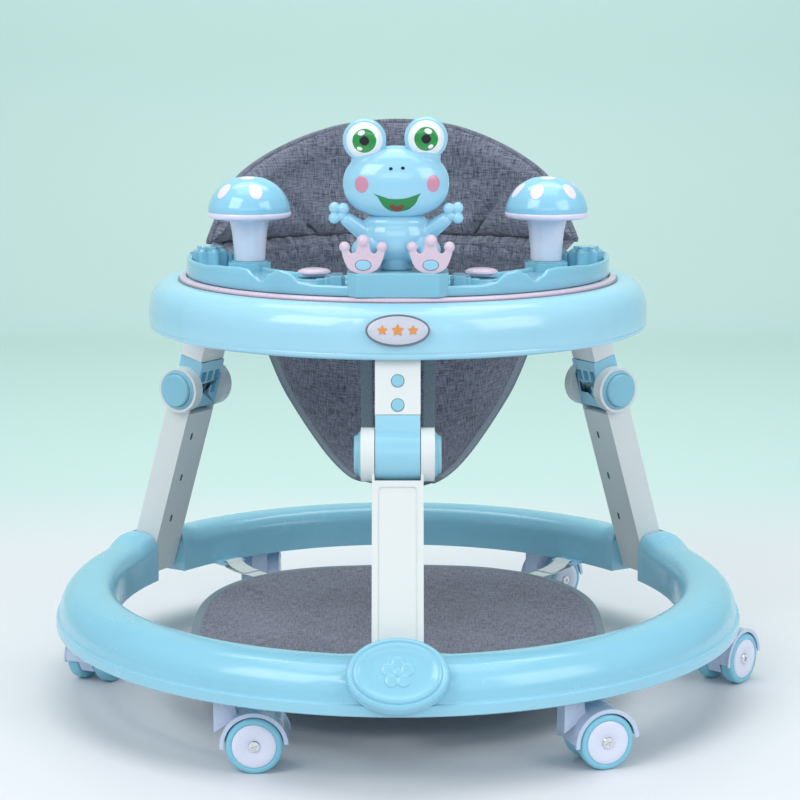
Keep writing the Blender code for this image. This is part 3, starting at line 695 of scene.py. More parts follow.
base = ring(base_outer + base_inner, 240, base_shape)
for leg, a in LEG_AZIMUTHS.items():
    m = about_z(a - 270)
    sh = [(-0.3360, 0.0665), (-0.3350, 0.0850), (-0.3270, 0.0990), (-0.3160, 0.1065), (-0.3000, 0.1085), (-0.2890, 0.1050), (-0.2850, 0.0980), (-0.2850, 0.0665)]
    base = union(base, moved(prism(sh, -0.0300, 0.0300, "X"), m))
for leg, a in LEG_AZIMUTHS.items():
    m = about_z(a - 270)
    pocket = prism(rounded([(-0.0236, -0.3270), (0.0236, -0.3270), (0.0236, -0.2600), (-0.0236, -0.2600)], 0.003), 0.0600, 0.1400)
    base = cut(base, moved(pocket, m))
for key, a in CASTER_AZIMUTHS.items():
    x, y = CASTER_R * math.cos(math.radians(a)), CASTER_R * math.sin(math.radians(a))
    base = union(base, rod(0.0088, 0.0665, 0.1035, 24, "Z", (x, y)))
    base = cut(base, rod(0.0049, 0.0600, 0.0985, 20, "Z", (x, y)))
for a in (47.0, 133.0):
    tab = prism(rounded([(0.2640, -0.0150), (0.2850, -0.0150), (0.2850, 0.0150), (0.2640, 0.0150)], 0.004), 0.0662, 0.0690)
    slot = prism(rounded([(0.2680, -0.0115), (0.2735, -0.0115), (0.2735, 0.0115), (0.2680, 0.0115)], 0.002), 0.06, 0.08)
    base = cut(union(base, moved(tab, about_z(a))), moved(slot, about_z(a)))

BOSS_AT, BOSS_TILT = (0.0, -0.3315, 0.0990), 36.0
BOSS_TURN = Matrix.Translation(BOSS_AT) @ Matrix.Rotation(math.radians(90 - BOSS_TILT), 4, "X")


def ellipse(rx, ry, n=72):
    return [(rx * math.cos(2 * math.pi * k / n), ry * math.sin(2 * math.pi * k / n)) for k in range(n)]


base = cut(base, moved(prism(ellipse(0.0448, 0.0333), -0.0010, 0.0300), BOSS_TURN))
piece("base_ring_shell", base, "base", M["base"], "base_ring", bevel=0.0009, segments=2, angle=42, sharp=40)


def stacked_oval(levels, n=72):
    """Ovals (rx, ry, height) one above the other, closed at both ends."""
    v, f = [], []
    for rx, ry, h in levels:
        v += [(x, y, h) for x, y in ellipse(rx, ry, n)]
    for i in range(len(levels) - 1):
        for k in range(n):
            a, b2 = i * n + k, i * n + (k + 1) % n
            f.append((a, b2, b2 + n, a + n))
    f.append(tuple(range(n))[::-1])
    f.append(tuple(range((len(levels) - 1) * n, len(levels) * n)))
    return mesh_of(v, f)


a_, b_ = 0.0445, 0.0330
boss = stacked_oval([
    (a_, b_, -0.0007), (a_, b_, 0.0085), (a_ - 0.0006, b_ - 0.0006, 0.0106), (a_ - 0.0020, b_ - 0.0020, 0.0122),
    (a_ - 0.0036, b_ - 0.0036, 0.0126), (a_ - 0.0048, b_ - 0.0046, 0.0118), (a_ - 0.0056, b_ - 0.0053, 0.0117),
    (a_ - 0.0064, b_ - 0.0060, 0.0132), (a_ - 0.0085, b_ - 0.0078, 0.0142), (a_ - 0.0105, b_ - 0.0095, 0.0138),
    (a_ - 0.0125, b_ - 0.0112, 0.0128), (a_ - 0.0220, b_ - 0.0175, 0.0131), (0.010, 0.0075, 0.0134), (0.001, 0.0008, 0.0135),
])
piece("base_oval_cover", moved(boss, BOSS_TURN), "base", M["base"], "base_front_boss", sharp=50)
# a plain raised ring of petals in place of the moulded mark
mark = []
for k in range(5):
    q = 2 * math.pi * k / 5 + math.pi / 2
    mark.append(moved(ball((0, 0, 0), (0.0062, 0.0062, 0.0012), 24, 10), Matrix.Translation((0.0088 * math.cos(q), 0.0088 * math.sin(q), 0.0134))))
mark.append(moved(ball((0, 0, 0), (0.0042, 0.0042, 0.0016), 24, 10), Matrix.Translation((0, 0, 0.0134))))
piece("base_cover_flower", moved(gathered(*mark), BOSS_TURN), "base", M["base"], sharp=60)

# ------------------------------------------------------------ casters
def arc_pts(cx, cz, r, a0, a1, n):
    return [(cx + r * math.cos(math.radians(a0 + (a1 - a0) * k / n)), cz + r * math.sin(math.radians(a0 + (a1 - a0) * k / n))) for k in range(n + 1)]


hood_out = arc_pts(TRAIL, WHEEL_R, 0.0300, 8, 182, 40)
hood = prism(hood_out + arc_pts(TRAIL, WHEEL_R, 0.0274, 8, 182, 40)[::-1], -0.0200, 0.0200, "Y")
flange = [
    prism(arc_pts(TRAIL, WHEEL_R, 0.0306, 4, 186, 40) + arc_pts(TRAIL, WHEEL_R, 0.0268, 4, 186, 40)[::-1], lo, lo + 0.0016, "Y")
    for lo in (-0.0212, 0.0196)
]
web = prism(
    arc_pts(TRAIL, WHEEL_R, 0.0278, 10, 178, 30) + [(TRAIL - 0.0200, 0.0130), (TRAIL, 0.0090), (TRAIL + 0.0180, 0.0150)],
    -0.0074, 0.0074, "Y",
)
neck = prism([(-0.0095, 0.0340), (0.0120, 0.0480), (0.0100, 0.0560), (0.0095, 0.0620), (-0.0095, 0.0620)], -0.0082, 0.0082, "Y")
housing = union(hood, web, neck, flange[0], flange[1], rod(0.0092, 0.0560, 0.0625, 28, "Z"), rod(0.0045, 0.0600, 0.0975, 20, "Z"))
housing = cut(housing, rod(0.0035, -0.03, 0.03, 20, "Y", (TRAIL, WHEEL_R)))
tyre_prof = [(0.0, WHEEL_IN), (0.0205, WHEEL_IN), (0.0240, WHEEL_IN + 0.0006), (0.0252, WHEEL_IN + 0.0022), (0.0255, 0.0110), (0.0255, 0.0185), (0.0250, 0.0200), (0.0238, 0.0211), (0.0222, 0.0215), (0.0205, 0.0213), (0.0200, 0.0206), (0.0, 0.0206)]
hub_prof = [(0.0, 0.0200), (0.0197, 0.0200), (0.0197, 0.0212), (0.0190, 0.0218), (0.0160, 0.0221), (0.0075, 0.0217), (0.0064, 0.0209), (0.0, 0.0209)]
screw_prof = [(0.0, 0.0205), (0.0054, 0.0205), (0.0054, 0.0216), (0.0048, 0.0223), (0.0028, 0.0226), (0.0, 0.0226)]
screw = lathe(screw_prof, 32)
for q in (0.4, 0.4 + math.pi / 2):
    screw = cut(screw, moved(box(-0.0030, 0.0030, -0.0005, 0.0005, 0.0212, 0.0240), Matrix.Rotation(q, 4, "Z")))
for key, a in CASTER_AZIMUTHS.items():
    x, y = CASTER_R * math.cos(math.radians(a)), CASTER_R * math.sin(math.radians(a))
    m = Matrix.Translation((x, y, 0)) @ about_z(CASTER_TRAIL[key])
    piece(f"caster_{key}_hood", moved(housing, m), f"caster_{key}", M["hood"], f"caster_{key}_housing", bevel=0.0005, segments=2, angle=40)
    for side, tag in ((1, "outer"), (-1, "inner")):
        w = m @ Matrix.Translation((TRAIL, 0, WHEEL_R)) @ Matrix.Rotation(side * math.pi / 2, 4, "X")
        piece(f"caster_{key}_tyre_{tag}", moved(lathe(tyre_prof, 64), w), f"caster_{key}_wheels", M["tyre"], f"caster_{key}_wheel_{tag}", sharp=50)
        piece(f"caster_{key}_disc_{tag}", moved(lathe(hub_prof, 56), w), f"caster_{key}_wheels", M["lilac"], sharp=50)
        piece(f"caster_{key}_screw_{tag}", moved(screw, w), f"caster_{key}_wheels", M["chrome"], sharp=30)

# ------------------------------------------------------------ legs
def along(p, q):
    z = Vector((0, -(q[0] - p[0]), q[1] - p[1])).normalized()
    x = Vector((1, 0, 0))
    y = z.cross(x)
    return Matrix.Translation((0, -p[0], p[1])) @ Matrix((x, y, z)).transposed().to_4x4()


LOW, UP = along(FOOT_PIVOT, KNEE_PIVOT), along(KNEE_PIVOT, TOP_PIVOT)
L1, L2 = math.dist(FOOT_PIVOT, KNEE_PIVOT), math.dist(KNEE_PIVOT, TOP_PIVOT)

lower = box(-LEG_HALF_W, LEG_HALF_W, -LEG_HALF_T, LEG_HALF_T, -0.0135, L1)
for s in (-1, 1):
    lower = union(lower, rod(EAR_R, min(s * 0.0204, s * EAR_OUT), max(s * 0.0204, s * EAR_OUT), 64, "X", (0, L1)))
lower = cut(lower, box(-0.0203, 0.0203, -0.04, 0.04, L1 - 0.0245, L1 + 0.04))
lower = cut(lower, box(-0.0186, 0.0186, -0.0108, 0.0108, -0.0200, L1 - 0.0330))
panel = prism(rounded([(-0.0172, 0.0120), (0.0172, 0.0120), (0.0172, L1 - 0.0300), (-0.0172, L1 - 0.0300)], 0.004), -0.0200, -0.0127, "Y")
lower = cut(lower, panel)
for s in (-1, 1):
    lower = cut(lower, rod(0.0207, min(s * 0.0285, s * 0.04), max(s * 0.0285, s * 0.04), 64, "X", (0, L1)))
    lower = cut(lower, rod(BUTTON_R + 0.0004, min(s * 0.0262, s * 0.04), max(s * 0.0262, s * 0.04), 48, "X", (0, L1)))

rim_prof = [(0.0177, 0.0286), (0.0205, 0.0286), (0.0205, 0.0330), (0.0200, 0.0336), (0.0192, 0.0337), (0.0190, 0.0344), (0.0184, 0.0349), (0.0177, 0.0349)]
button_prof = [(0.0, 0.0300), (BUTTON_R, 0.0300), (BUTTON_R, 0.0362), (0.0167, 0.0375), (0.0158, 0.0383), (0.0145, 0.0385), (0.0, 0.0386)]

face_y = 0.0148
kn = union(
    rod(BARREL_R, -BARREL_HALF, BARREL_HALF, 64, "X", (0, 0)),
    box(-BARREL_HALF, BARREL_HALF, -0.0130, face_y, -0.0060, COLLAR_TOP),
)
kn = cut(kn, box(-0.03, 0.03, face_y, 0.04, -0.03, 0.06))
kn = union(kn, box(-0.0160, 0.0160, -0.0095, 0.0095, 0.02, 0.0850))
kn = cut(kn, box(-0.0085, 0.0085, -0.0200, 0.0030, 0.0360, 0.0950))
for cx in (-0.0118, 0.0, 0.0118):
    for lo, hi in ((-0.0030, 0.0088), (0.0110, 0.0228)):
        kn = cut(kn, prism(rounded([(cx - 0.0042, lo), (cx + 0.0042, lo), (cx + 0.0042, hi), (cx - 0.0042, hi)], 0.0008, 2), face_y - 0.0050, 0.03, "Y"))

st = L2 + 0.0085
sleeve = prism(
    [(-SLEEVE_HALF_T, COLLAR_TOP + 0.0004), (SLEEVE_HALF_T, COLLAR_TOP + 0.0004), (SLEEVE_HALF_T, L2 + 0.0010), (0.0085, st), (-0.0085, st), (-SLEEVE_HALF_T, L2 + 0.0010)],
    -SLEEVE_HALF_W, SLEEVE_HALF_W, "X",
)
sleeve = cut(sleeve, box(-0.0164, 0.0164, -0.0099, 0.0099, 0.02, L2 + 0.0055))
for w in SNAP_AT:
    sleeve = cut(sleeve, rod(SNAP_R + 0.0004, -0.03, 0.0, 40, "Y", (0, w)))
sleeve = cut(sleeve, rod(PIN_R + 0.0005, -0.03, 0.03, 20, "X", (0, L2)))

stud_prof = [(0.0, 0.0035), (SNAP_R, 0.0035), (SNAP_R, 0.0134), (0.0051, 0.0139), (0.0042, 0.0141), (0.0, 0.0142)]
studs = [box(-0.0080, 0.0080, -0.0045, -0.0025, 0.0370, 0.0702)]
for w in SNAP_AT:
    studs.append(moved(lathe(stud_prof, 40), Matrix.Translation((0, 0, w)) @ Matrix.Rotation(math.pi / 2, 4, "X")))
# painted shade: three dark rounded patches on the leg face standing in for the shaded slot openings
slot_shade_marks = [prism(rounded([(x0 - 0.0016, z0 - 0.0040), (x0 + 0.0016, z0 - 0.0040), (x0 + 0.0016, z0 + 0.0040), (x0 - 0.0016, z0 + 0.0040)], 0.0015, 3), LEG_HALF_T - 0.0004, LEG_HALF_T + 0.00025, "Y") for x0, z0 in ((0.006, L1 - 0.052), (0.006, L1 - 0.100), (0.006, L1 - 0.148))]

for leg, a in LEG_AZIMUTHS.items():
    m = about_z(a - 270)
    piece(f"{leg}_leg_channel", moved(lower, m @ LOW), f"{leg}_lower", M["white"], f"{leg}_lower_leg", bevel=0.0011, segments=3, angle=40)
    piece(f"{leg}_leg_slot_shade", moved(gathered(*slot_shade_marks), m @ LOW), f"{leg}_lower", M["dark"], bevel=0.0002, segments=1)
    piece(f"{leg}_knuckle_block", moved(kn, m @ UP), f"{leg}_knuckle", M["knuckle"], f"{leg}_knuckle", bevel=0.0008, segments=3, angle=40)
    piece(f"{leg}_sleeve_tube", moved(sleeve, m @ UP), f"{leg}_sleeve", M["white"], f"{leg}_sleeve", bevel=0.0013, segments=3, angle=40)
    piece(f"{leg}_snap_studs", moved(gathered(*studs), m @ UP), f"{leg}_height_button", M["button"], f"{leg}_height_button", sharp=50)
    for s, tag in ((-1, "a"), (1, "b")):
        turn = m @ Matrix.Translation((0, -KNEE_PIVOT[0], KNEE_PIVOT[1])) @ Matrix.Rotation(math.pi / 2 * s, 4, "Y")
        piece(f"{leg}_knee_cap_{tag}", moved(lathe(button_prof, 64), turn), f"{leg}_knee_button_{tag}", M["button"], f"{leg}_knee_button_{tag}", sharp=50)
        piece(f"{leg}_knee_rim_{tag}", moved(ring(rim_prof, 64), turn), f"{leg}_lower", M["button"], sharp=50)

# ------------------------------------------------------------ tray ring
tray_out = [(0.2388, 0.3612), (0.2402, 0.3606), (0.2432, 0.3618), (0.2443, 0.3636), (0.2443, 0.3652), (0.2438, 0.3662)]
tray_out += catmull([(0.2444, 0.3680), (0.2449, 0.3760), (0.2443, 0.3860), (0.2410, 0.3960), (0.2345, 0.4036), (0.2265, 0.4076), (0.2195, 0.4083), (0.2150, 0.4070)], 6)
tray_profile = tray_out + [
    (0.1896, 0.4070), (0.1890, 0.4062), (0.1890, 0.3810), (0.1900, 0.3805), (0.1915, 0.3812), (0.1915, 0.4040), (0.2190, 0.4045), (0.2310, 0.4005), (0.2390, 0.3915), (0.2424, 0.3770), (0.2414, 0.3685), (0.2385, 0.3625),
]


def tray_shape(az, r, z):
    """The front of the ring stands a little proud, with a soft step at each end, and a flat panel behind the badge."""
    d = abs((az - 270 + 180) % 360 - 180)
    if r > 0.2200:
        r += 0.0007 * (1 - smooth(d, 54.5, 56.5))
        if z > 0.3665 and r > 0.236:
            r += 0.0008 * (1 - smooth(d, 7.6, 8.8))
    return r, z


tray = ring(tray_profile, 288, tray_shape)
cheek_outline = [(-0.2375, 0.3690), (-0.2385, 0.3900), (-0.2300, 0.4035), (-0.2080, 0.4052), (-0.2080, 0.3690)]
extra = []
for s in (-1, 1):
    lo, hi = sorted((s * 0.0235, s * 0.0265))
    extra.append(prism(cheek_outline, lo, hi, "X"))
    lo, hi = sorted((s * 0.0182, s * 0.0255))
    extra.append(rod(PIN_R, lo, hi, 20, "X", (-TOP_PIVOT[0], TOP_PIVOT[1])))
piece("tray_ring_shell", gathered(tray, *extra), "tray", M["tray"], "tray_ring", sharp=42)
piece("pink_band", ring(catmull([(0.2083, 0.4074), (0.2136, 0.4073), (0.2143, 0.4086), (0.2140, 0.4104), (0.2120, 0.4115), (0.2095, 0.4119), (0.2083, 0.4112)], 3, closed=True), 240), "tray", M["pink"], "pink_trim", sharp=60)

# painted shade: a thin dark ring in the gap between the pink band and the tray ring
piece("pink_band_gap_shade", ring([(0.2141, 0.4060), (0.2156, 0.4062), (0.2160, 0.4082), (0.2150, 0.4087), (0.2141, 0.4084)], 240), "tray", M["badge_rim"], sharp=60)

BADGE = Matrix.Translation((0, -0.2455, 0.3875)) @ Matrix.Rotation(math.radians(90 - 12), 4, "X")
ra, rb = 0.0283, 0.0142
piece("badge_rim", moved(stacked_oval([(ra, rb, -0.001), (ra, rb, 0.0022), (ra - 0.0005, rb - 0.0005, 0.0029), (ra - 0.0012, rb - 0.0012, 0.0030), (ra - 0.0016, rb - 0.0016, 0.0024), (0.002, 0.001, 0.0024)]), BADGE), "tray", M["badge_rim"], "badge", sharp=50)
piece("badge_face", moved(stacked_oval([(ra - 0.0017, rb - 0.0017, 0.0018), (ra - 0.0017, rb - 0.0017, 0.0027), (ra - 0.0023, rb - 0.0023, 0.0031), (ra - 0.010, rb - 0.006, 0.0034), (0.002, 0.001, 0.0035)]), BADGE), "tray", M["badge"], sharp=50)


def star(r, inner, n, h0, h1, at, turn=0.0):
    pts = [((r if k % 2 == 0 else inner) * math.sin(math.pi * k / n + turn) + at[0], (r if k % 2 == 0 else inner) * math.cos(math.pi * k / n + turn) + at[1]) for k in range(2 * n)]
    return prism(pts, h0, h1)


stars = gathered(*[star(r, r * 0.52, 5, 0.0030, 0.0041, (x, y)) for x, y, r in ((-0.0135, 0.0, 0.0048), (0.0, 0.0, 0.0058), (0.0135, 0.0, 0.0048))])
piece("badge_stars", moved(stars, BADGE), "tray", M["orange"], bevel=0.0003, segments=2)

# ------------------------------------------------------------ toy tray
def wall_top(theta):
    """Height of the tray's wavy front wall at an angle from the front, in degrees."""
    pts = [(0, 0.4216), (11, 0.4216), (21, 0.4218), (25, 0.4236), (29, 0.4322), (31.5, 0.4336), (34, 0.4296), (37, 0.4222), (39.5, 0.4262), (42, 0.4318), (45, 0.4326), (52, 0.4318), (60, 0.4300), (75, 0.4300), (90, 0.4306), (97, 0.4306)]
    x = abs(theta)
    for (x0, y0), (x1, y1) in zip(pts, pts[1:]):
        if x <= x1:
            return y0 + (y1 - y0) * smooth(x, x0, x1)
    return pts[-1][1]


SWEEP = 95.5
n_w = 300
wall_v, wall_f = [], []
for i in range(n_w + 1):
    th = -SWEEP + 2 * SWEEP * i / n_w
    q = math.radians(270 + th)
    top = wall_top(th)
    for r, z in (
        (TOY_R - 0.0004, 0.4122), (TOY_R, 0.4128), (TOY_R + 0.0002, top - 0.0022), (TOY_R - 0.0002, top - 0.0008), (TOY_R - 0.0010, top),
        (TOY_R - 0.0022, top - 0.0002), (TOY_R - 0.0028, top - 0.0014), (TOY_R - 0.0034, top - 0.0034), (TOY_R - 0.0052, top - 0.0038), (TOY_R - 0.0058, top - 0.0046), (TOY_R - 0.0060, 0.4160), (TOY_R - 0.0060, 0.4122),
    ):
        wall_v.append((r * math.cos(q), r * math.sin(q), z))
m_w = 12
for i in range(n_w):
    for j in range(m_w):
        wall_f.append((i * m_w + j, (i + 1) * m_w + j, (i + 1) * m_w + (j + 1) % m_w, i * m_w + (j + 1) % m_w))
wall_f += [tuple(range(m_w)), tuple(range(n_w * m_w, (n_w + 1) * m_w))[::-1]]
wall = mesh_of(wall_v, wall_f)
a0, a1 = math.radians(270 - SWEEP), math.radians(270 + SWEEP)


def crescent(r_out, r_in, n=96):
    pts = [(r_out * math.cos(a0 + (a1 - a0) * k / n), r_out * math.sin(a0 + (a1 - a0) * k / n)) for k in range(n + 1)]
    for k in range(n // 2 + 1):
        q = math.radians(-4.0 - 172.0 * k / (n // 2))
        pts.append((r_in * math.cos(q), 0.030 + r_in * math.sin(q) * 1.02))
    return pts


deck = prism(crescent(TOY_R - 0.0058, 0.1450), 0.4100, 0.4172)
lip_pts = [Vector((0.1462 * math.cos(math.radians(-4 - 172 * k / 90)), 0.030 + 0.1462 * 1.02 * math.sin(math.radians(-4 - 172 * k / 90)), 0.4175)) for k in range(91)]
lip_sides, lip_ups = [], []
for i, p in enumerate(lip_pts):
    d = (lip_pts[min(i + 1, 90)] - lip_pts[max(i - 1, 0)]).normalized()
    lip_sides.append(d.cross(Vector((0, 0, 1))).normalized())
    lip_ups.append(Vector((0, 0, 1)))
lip = sweep(lip_pts, lip_sides, lip_ups, oval(0.0022, 0.0036, 16, 2.4))
parts = [wall, deck, lip]
# pedestal block, with cut front corners and a shallow step on top
ped = [(-0.0365, -0.2112), (0.0365, -0.2112), (0.0455, -0.2015), (0.0455, -0.1560), (-0.0455, -0.1560), (-0.0455, -0.2015)]
hard = [prism(rounded(ped, 0.002, 3), 0.4122, 0.4335), prism(rounded([(-0.0300, -0.2070), (0.0300, -0.2070), (0.0380, -0.1990), (0.0380, -0.1600), (-0.0380, -0.1600), (-0.0380, -0.1990)], 0.002, 3), 0.4330, 0.4341)]
for s in (-1, 1):
    # stepped blocks beside the pedestal
    for (x0, x1, y0, y1, z1) in ((0.0475, 0.0660, -0.1830, -0.1640, 0.4268), (0.0500, 0.0610, -0.1870, -0.1600, 0.4290), (0.0580, 0.0740, -0.1760, -0.1680, 0.4250)):
        lo, hi = sorted((s * x0, s * x1))
        hard.append(prism(rounded([(lo, y0), (hi, y0), (hi, y1), (lo, y1)], 0.0015, 3), 0.4165, z1))
    mx, my = s * MUSHROOM[0], MUSHROOM[1]
    eight = [(mx + 0.0225 * math.cos(math.pi / 8 + math.pi / 4 * k), my + 0.0225 * math.sin(math.pi / 8 + math.pi / 4 * k)) for k in range(8)]
    hard.append(prism(rounded(eight, 0.003, 3), 0.4160, 0.4246))
    eight = [(mx + 0.0192 * math.cos(math.pi / 8 + math.pi / 4 * k), my + 0.0192 * math.sin(math.pi / 8 + math.pi / 4 * k)) for k in range(8)]
    hard.append(prism(rounded(eight, 0.003, 3), 0.4240, 0.4260))
    # lobed gear blocks behind the mushrooms
    for gx, gy, gr, z0, z1 in ((0.1850, -0.0060, 0.0150, 0.4160, 0.4335), (0.1850, -0.0060, 0.0108, 0.4330, 0.4382), (0.1700, 0.0060, 0.0100, 0.4160, 0.4300)):
        lobes = [((gr * (1 + 0.16 * math.cos(6 * q))) * math.cos(q) + s * gx, (gr * (1 + 0.16 * math.cos(6 * q))) * math.sin(q) + gy) for q in [2 * math.pi * k / 72 for k in range(72)]]
        hard.append(prism(lobes, z0, z1))
    for q in range(6):
        w = math.radians(60 * q)
        hard.append(moved(ball((0, 0, 0), (0.0038, 0.0038, 0.0024), 20, 10), Matrix.Translation((s * 0.1850 + 0.0118 * math.cos(w), -0.0060 + 0.0118 * math.sin(w), 0.4335))))
    # button seats
    hard.append(moved(ring([(0.0125, 0.4165), (0.0172, 0.4165), (0.0168, 0.4188), (0.0150, 0.4196), (0.0128, 0.4190)], 48), Matrix.Translation((s * 0.0780, -0.1150, 0))))
    # side cheeks that the ends of the tray finish in
    lo, hi = sorted((s * 0.1780, s * 0.2000))
    hard.append(prism(rounded([(lo, -0.0050), (hi, -0.0050), (hi - (0.003 if s > 0 else 0), 0.0170), (lo, 0.0170)], 0.003, 3), 0.4160, 0.4300))
piece("toy_tray_deck", gathered(*parts), "tray", M["toy"], "toy_tray", sharp=45)
piece("toy_tray_blocks", gathered(*hard), "tray", M["toy"], bevel=0.0009, segments=3, angle=35)
for s, tag in ((-1, "left"), (1, "right")):
    prof = [(0.0, 0.4216), (0.0110, 0.4216), (0.0110, 0.4232), (0.0148, 0.4236), (0.0156, 0.4246), (0.0150, 0.4262), (0.0120, 0.4276), (0.0070, 0.4284), (0.0, 0.4286)]
    piece(f"music_button_{tag}_cap", moved(lathe(prof, 48), Matrix.Translation((s * 0.0780, -0.1150, 0))), f"music_button_{tag}", M["pink"], f"music_button_{tag}", sharp=50)

# ------------------------------------------------------------ decals that follow a surface
def fitted(target, outline, centre, ray=(0, 1, 0), back=0.10, lift=0.0006, rings=7, side=None, up=None):
    """A thin raised patch: the outline, scaled towards its middle ring by ring, dropped onto the target along ray."""
    ray = Vector(ray).normalized()
    side = Vector(side) if side else Vector((1, 0, 0))
    up = Vector(up) if up else Vector((0, 0, 1))
    centre = Vector(centre)
    bm = bmesh.new()
    bm.from_mesh(target)
    tree = BVHTree.FromBMesh(bm)
    bm.free()
    n = len(outline)
    mx, my = sum(p[0] for p in outline) / n, sum(p[1] for p in outline) / n
    levels = [(1.0, -0.0006)] + [(1.0 - 0.02 * k, lift * math.sin(math.pi / 2 * k / 3)) for k in (0, 1, 2, 3)]
    levels += [(0.94 * (1 - k / rings), lift) for k in range(1, rings)]
    v, f = [], []
    for scale, off in levels:
        for px, py in outline:
            p = centre + side * (mx + (px - mx) * scale) + up * (my + (py - my) * scale)
            hit, nrm, _, _ = tree.ray_cast(p - ray * back, ray, back * 3)
            if hit is None:
                near, nrm, _, _ = tree.find_nearest(p)
                hit = near
            if nrm.dot(ray) > 0:
                nrm = -nrm
            v.append(hit + nrm * off)
    for i in range(len(levels) - 1):
        for k in range(n):
            f.append((i * n + k, i * n + (k + 1) % n, (i + 1) * n + (k + 1) % n, (i + 1) * n + k))
    f.append(tuple(range((len(levels) - 1) * n, len(levels) * n)))
    return mesh_of(v, f)


# ------------------------------------------------------------ mushrooms
stem_prof = [(0.0, 0.4262), (0.0148, 0.4262), (0.0152, 0.4270), (0.0158, 0.4400), (0.0172, 0.4540), (0.0190, 0.4630), (0.0204, 0.4662), (0.0, 0.4662)]
dome = catmull([(0.0396, 0.4722), (0.0400, 0.4745), (0.0393, 0.4800), (0.0352, 0.4895), (0.0275, 0.4985), (0.0160, 0.5050), (0.0070, 0.5070), (0.0, 0.5073)], 6)
dome[-1] = (0.0, 0.5073)
cap_prof = [(0.0, 0.4722), (0.0385, 0.4721)] + dome
brim_prof = [(0.0, 0.4668), (0.0200, 0.4669), (0.0330, 0.4668), (0.0378, 0.4674), (0.0402, 0.4688), (0.0408, 0.4704), (0.0408, 0.4724), (0.0403, 0.4732), (0.0392, 0.4733), (0.0, 0.4730)]
for s, tag in ((-1, "left"), (1, "right")):
    c = Matrix.Translation((s * MUSHROOM[0], MUSHROOM[1], 0.0))
    piece(f"mushroom_{tag}_stalk", moved(lathe(stem_prof, 64), c), "tray", M["stem"], f"mushroom_{tag}_stem", sharp=50)
    cap = moved(lathe(cap_prof, 96), c)
    piece(f"mushroom_{tag}_dome", cap, f"mushroom_{tag}_cap", M["cap"], f"mushroom_{tag}_cap", sharp=50)
    piece(f"mushroom_{tag}_brim", moved(lathe(brim_prof, 96), c), f"mushroom_{tag}_cap", M["spot"], sharp=50)
    spots = []
    # (azimuth, tilt from straight up, half width, half height) of each oval
    rows = [(265, 14, 0.0072, 0.0058)] + [(a_s, 50, 0.0066, 0.0092) for a_s in (286, 222, 160, 95, 30)]
    if s > 0:
        rows = [(272, 14, 0.0072, 0.0058)] + [(a_s, 50, 0.0066, 0.0092) for a_s in (248, 312, 15, 80, 150, 200)]
    for az_s, tilt, hw, hh in rows:
        q, w = math.radians(az_s), math.radians(tilt)
        out = Vector((math.sin(w) * math.cos(q), math.sin(w) * math.sin(q), math.cos(w)))
        side = Vector((-math.sin(q), math.cos(q), 0))
        up = out.cross(side)
        if up.z < 0:
            up = -up
        mid = Vector((s * MUSHROOM[0], MUSHROOM[1], 0.4690))
        pts = [(hw * math.cos(2 * math.pi * k / 40), hh * math.sin(2 * math.pi * k / 40)) for k in range(40)]
        spots.append(fitted(cap, pts, mid + out * 0.034, ray=-out, back=0.03, lift=0.00035, side=side, up=up))
    piece(f"mushroom_{tag}_spots", gathered(*spots), f"mushroom_{tag}_cap", M["spot"], sharp=60)

# ------------------------------------------------------------ frog
fx, fy = FROG
torso = [
    ball((fx, fy, 0.4620), (0.0315, 0.0215, 0.0250), 40, 20),
    ball((fx, fy, 0.4760), (0.0290, 0.0190, 0.0110), 40, 20),
    rod(0.0148, 0.4340, 0.4560, 40, "Z", (fx, fy)),
]
for s in (-1, 1):
    torso += [
        ball((fx + s * 0.0225, fy - 0.0050, 0.4520), (0.0180, 0.0165, 0.0130), 32, 16),
        capsule((fx + s * 0.0240, fy, 0.4640), (fx + s * 0.0440, fy - 0.009, 0.4795), 0.0095, 0.0064, 28),
        capsule((fx + s * 0.0200, fy - 0.004, 0.4500), (fx + s * 0.0290, fy - 0.0220, 0.4500), 0.0110, 0.0088, 28),
    ]
body = gathered(*torso)
piece("frog_torso", body, "frog", M["frog"], "frog_body", remesh=0.0009, smooth=5, sharp=180)
hands = []
for s in (-1, 1):
    for dx, dz in ((-0.0030, 0.0040), (0.0050, 0.0048), (0.0052, -0.0042)):
        hands.append(ball((fx + s * (0.0500 + dx), fy - 0.012, 0.4855 + dz), 0.0052, 28, 14))
    hands.append(ball((fx + s * 0.0482, fy - 0.0105, 0.4832), 0.0050, 24, 12))
piece("frog_hands", gathered(*hands), "frog", M["frog"], remesh=0.0006, smooth=1, sharp=180)

HEAD = Vector((fx, fy - 0.002, 0.5130))
head = gathered(
    ball(tuple(HEAD), (0.0477, 0.0287, 0.0322), 96, 48, lower=2.5),
    ball((fx, fy - 0.002, 0.5230), (0.0400, 0.0255, 0.0222), 64, 32),
    *[capsule((HEAD.x + ex, HEAD.y, HEAD.z + 0.018), (HEAD.x + ex * 1.02, HEAD.y - 0.002, HEAD.z + 0.034), 0.0135, 0.0150, 32) for ex in (-0.0265, 0.0260)],
)
ho = piece("frog_head_shell", head, "frog", M["frog"], "frog_head", remesh=0.0010, smooth=8, sharp=180)
head_mesh = RAW["frog_head_shell"]
EYES = [(-0.0281, 0.0371), (0.0267, 0.0388)]
glints = [[(-0.0026, 0.0069, 0.0033, 0.0022, 0.35), (-0.0041, -0.0068, 0.0025, 0.0016, -0.3)], [(0.0018, 0.0067, 0.0035, 0.0024, -0.3), (0.0039, -0.0066, 0.0025, 0.0016, 0.5)]]
